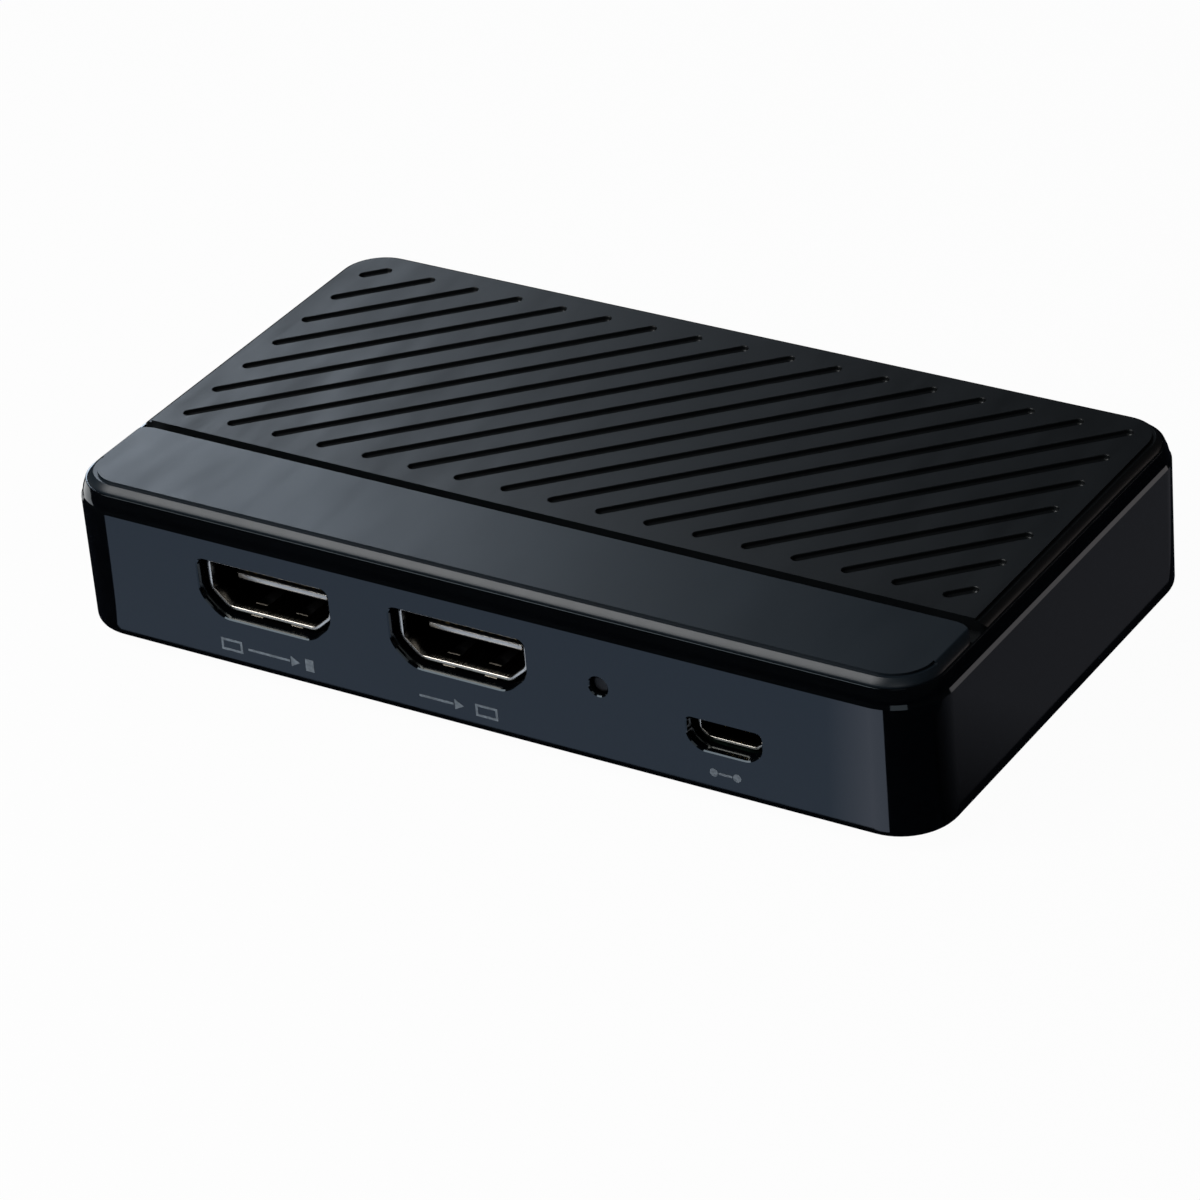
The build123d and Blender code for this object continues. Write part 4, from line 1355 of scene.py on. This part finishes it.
    def contacts(self) -> None:
        """Upper and lower contacts on the tongue, and the tails behind the block."""
        width, thickness, setback = self.contact
        start = self.tongue[2] + setback
        depths = (start, self.block_front)
        half = self.tongue[1] / 2
        pieces = []
        for count, low in zip(self.rows, (self.tongue_z + half, self.tongue_z - half - thickness)):
            first = self.first_bar(count, self.pitch, width, depths, (low, low + thickness))
            first.pick_edges(facing_at(start)).round_off(self.contact_edge, 2)
            pieces += [first, *self.spaced(first, self.pitch, count)]
        width, length, radius = self.tail
        start = self.back + self.flange
        top = self.board_top + thickness
        pitch = self.pitch / 2
        first = self.first_bar(self.tails, pitch, width, (start, start + length), (self.board_top, top))
        first.pick_edges(level_at(top)).round_off(radius, 2)
        pieces += [first, *self.spaced(first, pitch, self.tails)]
        whole = pieces[0].join(pieces[1:]).rename(f"{self.prefix}_contacts")
        whole.finish(CONTACT_GOLD, "contact_gold", [f"hdmi_{self.flow.value}_contacts"])

    def build(self) -> None:
        """Makes all of the socket's pieces."""
        self.shell()
        self.insulator()
        self.tongue_cap()
        self.contacts()


@dataclass(kw_only=True)
class SmallSocket(Socket):
    """The small data socket.

    Attributes:
        count: how many contacts it has, and as many tails.
        pitch: their spacing.
        contact: a contact's width, thickness and setback from the tongue's tip.
        contact_edge: the radius of its front edges.
        tail: a tail's width, length and upper edges' radius.
    """

    port: Port = SMALL_PORT
    front: float = -26.9
    back: float = -21.7
    wall: float = 0.3
    lip: float = 0.09
    block_front: float = -23.5
    tongue: Triple = (3.8, 0.6, -26.0)
    tongue_z: float = 8.25
    tongue_root: float = 0.3
    tongue_edge: float = 0.12
    count: int = 5
    pitch: float = 0.65
    contact: Triple = (0.4, 0.12, 0.1)
    contact_edge: float = 0.04
    tail: Triple = (0.3, 1.0, 0.03)

    def build(self) -> None:
        """Makes the shell, the insulator and the contacts under the tongue."""
        self.folded_shell("data_shell").finish(DATA_STEEL, "socket_steel", ["usb_shell"])
        self.tongued_block("data_insulator").finish(SOCKET_PLASTIC, "socket_plastic", ["usb_insulator"])
        width, thickness, setback = self.contact
        start = self.tongue[2] + setback
        under = self.tongue_z - self.tongue[1] / 2
        depths = (start, self.block_front)
        heights = (under - thickness, under)
        contact = self.first_bar(self.count, self.pitch, width, depths, heights)
        contact.pick_edges(facing_at(start)).round_off(self.contact_edge, 2)
        width, length, radius = self.tail
        depths = (self.back, self.back + length)
        top = self.board_top + thickness
        tail = self.first_bar(self.count, self.pitch, width, depths, (self.board_top, top))
        tail.pick_edges(level_at(top)).round_off(radius, 2)
        copies = [copy for bar in (contact, tail) for copy in self.spaced(bar, self.pitch, self.count)]
        contact.join([tail, *copies]).rename("data_contacts")
        contact.finish(CONTACT_GOLD, "contact_gold", ["usb_contacts"])


@dataclass
class StatusLight:
    """The clear pin in the light hole.

    Attributes:
        sizes: the shared case sizes.
        front: where its face lies.
        back: where its slanted back ends.
        radius: the pin's radius.
        nose: the radius of its face's edge.
        collar: the collar's radius, front and thickness.
        foot: the height of the leg's end.
    """

    sizes: CaseSizes
    front: float = -27.8
    back: float = -23.1
    radius: float = 1.0
    nose: float = 0.25
    collar: Triple = (1.8, -26.85, 0.8)
    foot: float = 7.6

    def build(self) -> None:
        """A rounded pin, its collar, and the leg that stands over the lamp."""
        x, z = self.sizes.light
        length = self.back - self.front
        middle = (x, self.front + length / 2, z)
        pin = Workpiece.rod("light_pin", middle, self.radius, length, Direction.DEEP, 40)
        pin.pick_edges(facing_at(self.front)).round_off(self.nose, 4)
        radius, front, thickness = self.collar
        middle = (x, front + thickness / 2, z)
        pin.cut_by(Workpiece.rod("collar", middle, radius, thickness, Direction.DEEP, 40), "UNION")
        axis = self.back - self.radius
        tall = z + self.radius - self.foot
        middle = (x, axis, self.foot + tall / 2)
        pin.cut_by(Workpiece.rod("leg", middle, self.radius, tall, Direction.UP, 40), "UNION")
        pin.pick_all()
        bpy.ops.mesh.bisect(plane_co=(x, axis, z), plane_no=(0.0, 1.0, 1.0), clear_outer=True, use_fill=True)
        pin.finish(CLEAR_PIN, "clear_plastic", ["light_pipe"])


@dataclass
class Feet:
    """The four round rubber feet.

    Attributes:
        sizes: the shared case sizes.
        radius: a foot's radius.
        height: a foot's height, its recessed part included.
        edge: the radius of its lower edge.
        rim: the width of the rim round its hollowed underside.
        hollow: the width of the hollow's slanted side, and its depth.
    """

    sizes: CaseSizes
    radius: float = 4.5
    height: float = 2.3
    edge: float = 0.5
    rim: float = 0.9
    hollow: Pair = (0.2, 0.15)

    def build(self) -> None:
        """Models one foot and copies it to the corners."""
        foot = Workpiece.rod("foot", (0.0, 0.0, self.height / 2), self.radius, self.height, Direction.UP, 64)
        foot.pick_edges(level_at(0.0)).round_off(self.edge, 5)
        slant, depth = self.hollow
        foot.pick_faces(flat_at(Z, 0.0, -1.0)).inset(self.rim).inset(slant).shift((0.0, 0.0, depth))
        for name, place in self.sizes.foot_places().items():
            copy = foot.copy(f"rubber_foot_{name}", (*place, 0.0))
            copy.finish(FOOT_RUBBER, "foot_rubber", [f"foot_{name}"])
        bpy.data.objects.remove(foot.body, do_unlink=True)


@dataclass
class PortMarks:
    """Small printed signs under the sockets: a screen with an arrow, and a link sign.

    Attributes:
        face: where the ink's surface lies.
        depth: how far it reaches into the wall.
        middle_z: the marks' middle height.
        height: a mark's height.
        stroke: the width of its strokes.
        screen_width: the width of a screen's outline.
        head: the radius of an arrow's three-sided head.
        head_gap: the gap between the head and the arrow's shaft.
        out_mark: where the left screen, its arrow and the arrow's tip lie, and the bar's ends.
        in_mark: where the right arrow and its tip lie, and the screen.
        link: the places of the link sign's spots.
        spot: a spot's radius and its gap to the line between the spots.
    """

    face: float = -28.499
    depth: float = 0.06
    middle_z: float = 4.05
    height: float = 1.4
    stroke: float = 0.26
    screen_width: float = 2.6
    head: float = 0.7
    head_gap: float = 0.15
    out_mark: tuple[float, ...] = (-31.2, -27.9, -21.6, -20.9, -19.9)
    in_mark: Triple = (-7.2, -2.0, -0.6)
    link: Pair = (26.6, 29.2)
    spot: Pair = (0.45, 0.1)
    parts: list[Workpiece] = field(default_factory=list)

    def bar(self, left: float, right: float, low: float, high: float) -> None:
        """Adds a bar, measured from the marks' middle height.

        Args:
            left: where it starts.
            right: where it ends.
            low: its underside's height.
            high: its top's height.
        """
        start = (left, self.face, self.middle_z + low)
        end = (right, self.face + self.depth, self.middle_z + high)
        self.parts.append(Workpiece.block("mark", start, end))

    def disc(self, x: float, radius: float, sides: int = 24) -> None:
        """Adds a round or many-sided spot with a corner to the right.

        Args:
            x: its middle along the case.
            radius: its radius.
            sides: how many sides its outline has.
        """
        centre = (x, self.face + self.depth / 2, self.middle_z)
        way = Direction.DEEP_CORNER_RIGHT
        self.parts.append(Workpiece.rod("mark", centre, radius, self.depth, way, sides))

    def line(self, left: float, right: float) -> None:
        """Adds a line at the marks' middle height."""
        self.bar(left, right, -self.stroke / 2, self.stroke / 2)

    def arrow(self, start: float, tip: float) -> None:
        """Adds an arrow that points to the right."""
        self.line(start, tip - 1.5 * self.head - self.head_gap)
        self.disc(tip - self.head, self.head, 3)

    def screen(self, left: float) -> None:
        """Adds a screen's outline.

        Args:
            left: where it starts.
        """
        half = self.height / 2
        right = left + self.screen_width
        inner = half - self.stroke
        self.bar(left, right, inner, half)
        self.bar(left, right, -half, -inner)
        self.bar(left, left + self.stroke, -inner, inner)
        self.bar(right - self.stroke, right, -inner, inner)

    def build(self) -> None:
        """Draws the three signs as one printed piece."""
        screen, start, tip, left, right = self.out_mark
        self.screen(screen)
        self.arrow(start, tip)
        self.bar(left, right, -self.height / 2, self.height / 2)
        start, tip, screen = self.in_mark
        self.arrow(start, tip)
        self.screen(screen)
        radius, gap = self.spot
        left, right = self.link
        self.disc(left, radius)
        self.line(left + radius + gap, right - radius - gap)
        self.disc(right, radius)
        whole = self.parts[0].join(self.parts[1:]).rename("port_marks")
        whole.finish(MARK_INK, "satin_plate")


class InnerWorks:
    """The board and what stands on it, which stay as the CAD has them."""

    def build(self) -> None:
        """Gives each remaining CAD node its procedural finish."""
        slots = {entry["node"]: entry["material_slot"] for entry in frame["record"]["subparts"]}
        for name, node in frame["nodes"].items():
            finish = INNER_FINISHES.get(slots[name])
            if finish is None:
                continue
            node.data.materials.clear()
            node.data.materials.append(finish.material())
            LOG.info("dressed %s as %s", name, finish.name)


@dataclass(frozen=True)
class Lamp:
    """A rectangular soft lamp.

    Attributes:
        name: the lamp's name.
        place: its middle, in millimetres.
        aim: the point it faces, in millimetres.
        size: its width and height, in millimetres.
        power: its power in watts.
        colour: its light's colour.
    """

    name: str
    place: Triple
    aim: Triple
    size: Pair
    power: float
    colour: Triple = (1.0, 1.0, 1.0)


@dataclass(frozen=True)
class Card:
    """A reflector card that lies by the case, as photographers lay one by a glossy thing.

    Attributes:
        name: the card's name.
        low: its lowest corner, in millimetres.
        high: its highest corner, in millimetres.
        axis: 0 or 1, the axis that its brightness changes along.
        fade: the places on that axis where the change starts and ends.
        start: its brightness up to the first place.
        end: its brightness past the second place.
        turn: the turn of that axis about Z, in radians.
        lean: how far its back left corner is drawn to the right, in millimetres.
        height: the height it lies at, in millimetres.
    """

    name: str
    low: Pair
    high: Pair
    axis: int
    fade: Pair
    start: Colour
    end: Colour
    turn: float = 0.0
    lean: float = 0.0
    height: float = 0.1


LAMPS = (
    Lamp("key_lamp", (-196.0, -236.0, 310.0), (0.0, -20.0, 15.0), (260.0, 280.0), 1.05),
    Lamp("back_lamp", (-621.0, 668.0, 427.0), (0.0, 0.0, 18.0), (150.0, 150.0), 0.7, (0.77, 0.87, 1.0)),
    Lamp("rim_lamp", (241.0, 212.0, 33.0), (50.0, 0.0, 16.0), (140.0, 50.0), 0.022, (1.0, 0.86, 0.82)),
    Lamp("fill_lamp", (206.0, -314.0, 260.0), (5.0, -28.0, 10.0), (200.0, 160.0), 0.07),
)
BLACK: Colour = (0.0, 0.0, 0.0, 1.0)
BRIGHT: Colour = (1.5, 1.5, 1.5, 1.0)
CARDS = (
    Card(
        "front_card",
        (-67.1, -54.0),
        (45.6, -31.5),
        X,
        (48.0, 52.5),
        (0.56, 0.65, 0.82, 1.0),
        (1.13, 1.12, 1.28, 1.0),
        turn=0.52,
        lean=19.1,
    ),
    Card("side_card", (52.3, -24.0), (72.0, 62.0), Y, (-24.0, 0.0), BLACK, (0.088, 0.088, 0.1, 1.0)),
    Card("left_card", (-170.0, -55.0), (-88.0, 0.0), X, (-160.0, -75.0), BRIGHT, BRIGHT),
)


@dataclass
class Studio:
    """Floor, lamps, backdrop and camera.

    Attributes:
        target: the point that the camera looks at, in millimetres.
        azimuth: the camera's turn round the case, in degrees.
        elevation: its height above the horizon, in degrees.
        roll: its turn about its own axis, in degrees.
        distance: its distance from the target, in millimetres.
        lens: its focal length on a sensor 36 mm wide.
        floor_reach: how far the floor reaches from the case, in millimetres.
        floor_height: the floor's height, a little under the feet, in millimetres.
        floor_colour: the floor's colour.
        gloss_floor: the floor's brightness as the gloss mirrors it.
        white_share: how much of the camera's view of the floor is plain white.
        air_colour: the colour of the dim light from all round.
        air_strength: its strength.
    """

    target: Triple = (5.80, -14.46, 10.5)
    azimuth: float = 33.93
    elevation: float = 30.80
    roll: float = -5.05
    distance: float = 521.5
    lens: float = 157.8
    floor_reach: float = 3000.0
    floor_height: float = -0.02
    floor_colour: Colour = (0.86, 0.86, 0.86, 1.0)
    gloss_floor: Colour = (0.006, 0.007, 0.01, 1.0)
    white_share: float = 0.97
    air_colour: Colour = (0.9, 0.95, 1.0, 1.0)
    air_strength: float = 0.02

    def camera(self) -> None:
        """Places the camera where the photograph was taken from."""
        az, el, roll = (math.radians(v) for v in (self.azimuth, self.elevation, self.roll))
        back = Vector((math.sin(az) * math.cos(el), -math.cos(az) * math.cos(el), math.sin(el)))
        right = (-back).cross(Vector((0.0, 0.0, 1.0))).normalized()
        up = right.cross(-back)
        turned_right = right * math.cos(roll) + up * math.sin(roll)
        turned_up = up * math.cos(roll) - right * math.sin(roll)
        data = bpy.data.cameras.new("camera")
        data.lens = self.lens
        data.sensor_width = 36.0
        data.clip_start = 0.01
        data.clip_end = 20.0
        camera = bpy.data.objects.new("camera", data)
        bpy.context.collection.objects.link(camera)
        turn = Matrix((turned_right, turned_up, back)).transposed().to_4x4()
        eye = (Vector(self.target) + back * self.distance) * MILLIMETRE
        camera.matrix_world = Matrix.Translation(eye) @ turn
        bpy.context.scene.camera = camera

    @staticmethod
    def lamp(lamp: Lamp) -> None:
        """Adds a rectangular soft lamp.

        Args:
            lamp: what it is like.
        """
        data = bpy.data.lights.new(lamp.name, "AREA")
        data.shape = "RECTANGLE"
        data.size, data.size_y = (side * MILLIMETRE for side in lamp.size)
        data.energy = lamp.power
        data.color = lamp.colour
        body = bpy.data.objects.new(lamp.name, data)
        place = Vector(lamp.place)
        body.location = place * MILLIMETRE
        body.rotation_euler = (place - Vector(lamp.aim)).to_track_quat("Z", "Y").to_euler()
        body.visible_camera = False
        bpy.context.collection.objects.link(body)

    @staticmethod
    def sheet(name: str, low: Pair, high: Pair, height: float) -> tuple[bpy.types.Object, Graph]:
        """Lays a flat stage sheet down.

        Args:
            name: the name of the sheet and of its material.
            low: its lowest corner, in millimetres.
            high: its highest corner, in millimetres.
            height: the height it lies at, in millimetres.

        Returns:
            The sheet, with its place in its mesh, and its material's graph.
        """
        Workpiece.put_down()
        centre = [(a + b) / 2 for a, b in zip(low, high)]
        bpy.ops.mesh.primitive_plane_add(size=1.0, location=(*centre, height))
        sheet = Workpiece.taken(name)
        sheet.body.scale = (high[0] - low[0], high[1] - low[1], 1.0)
        sheet.settle()
        sheet.body.scale = (MILLIMETRE,) * 3
        sheet.settle()
        material = bpy.data.materials.new(name)
        sheet.body.data.materials.append(material)
        return sheet.body, Graph(material)

    def card(self, card: Card) -> None:
        """Lays a reflector card down, which shows only in the case's gloss.

        Args:
            card: what it is like.
        """
        sheet, graph = self.sheet(card.name, card.low, card.high, card.height)
        left = card.low[0] * MILLIMETRE + TINY
        back = card.high[1] * MILLIMETRE - TINY
        corner = Workpiece(sheet).pick_points(lambda place: place.x < left and place.y > back)
        corner.shift((card.lean * MILLIMETRE, 0.0, 0.0)).hold()
        shade = graph.blend(graph.fade(card.axis, *card.fade, card.turn), card.start, card.end)
        graph.surface(graph.add("ShaderNodeEmission", {"Color": shade}).outputs[0])
        sheet.visible_camera = False
        sheet.visible_diffuse = False
        sheet.visible_shadow = False
        sheet.visible_transmission = False

    def floor(self) -> None:
        """A plain pale floor: white to the camera, with the case's shadow kept, and dim in the gloss."""
        reach = self.floor_reach
        graph = self.sheet("floor", (-reach, -reach), (reach, reach), self.floor_height)[1]
        path = graph.add("ShaderNodeLightPath").outputs
        pale = graph.add("ShaderNodeBsdfDiffuse", {"Color": self.floor_colour}).outputs[0]
        white = graph.add("ShaderNodeEmission", {"Color": WHITE}).outputs[0]
        dim = graph.add("ShaderNodeEmission", {"Color": self.gloss_floor}).outputs[0]
        factors = {0: path["Is Camera Ray"], 1: self.white_share}
        share = graph.add("ShaderNodeMath", factors, operation="MULTIPLY").outputs[0]
        graph.surface(graph.mix(path["Is Glossy Ray"], graph.mix(share, pale, white), dim))

    def backdrop(self) -> None:
        """White behind the case, dim for the light on it."""
        world = bpy.data.worlds.new("backdrop")
        graph = Graph(world, "ShaderNodeOutputWorld")
        inputs = {"Color": self.air_colour, "Strength": self.air_strength}
        dim = graph.add("ShaderNodeBackground", inputs).outputs[0]
        white = graph.add("ShaderNodeBackground", {"Color": WHITE}).outputs[0]
        path = graph.add("ShaderNodeLightPath").outputs
        graph.surface(graph.mix(path["Is Camera Ray"], dim, white))
        bpy.context.scene.world = world

    def build(self) -> None:
        """Sets the stage and the plain view transform."""
        self.camera()
        self.floor()
        self.backdrop()
        for lamp in LAMPS:
            self.lamp(lamp)
        for card in CARDS:
            self.card(card)
        bpy.context.scene.view_settings.view_transform = "Standard"


def main() -> None:
    """Builds the box piece by piece and sets the stage."""
    logging.basicConfig(level=logging.INFO, format="%(name)s: %(message)s")
    sizes = CaseSizes()
    Housing(sizes).build()
    Cover(sizes).build()
    Plates(sizes).build()
    for flow in Flow:
        LargeSocket(flow=flow).build()
    SmallSocket().build()
    StatusLight(sizes).build()
    Feet(sizes).build()
    PortMarks().build()
    InnerWorks().build()
    Studio().build()


if __name__ == "__main__":
    main()
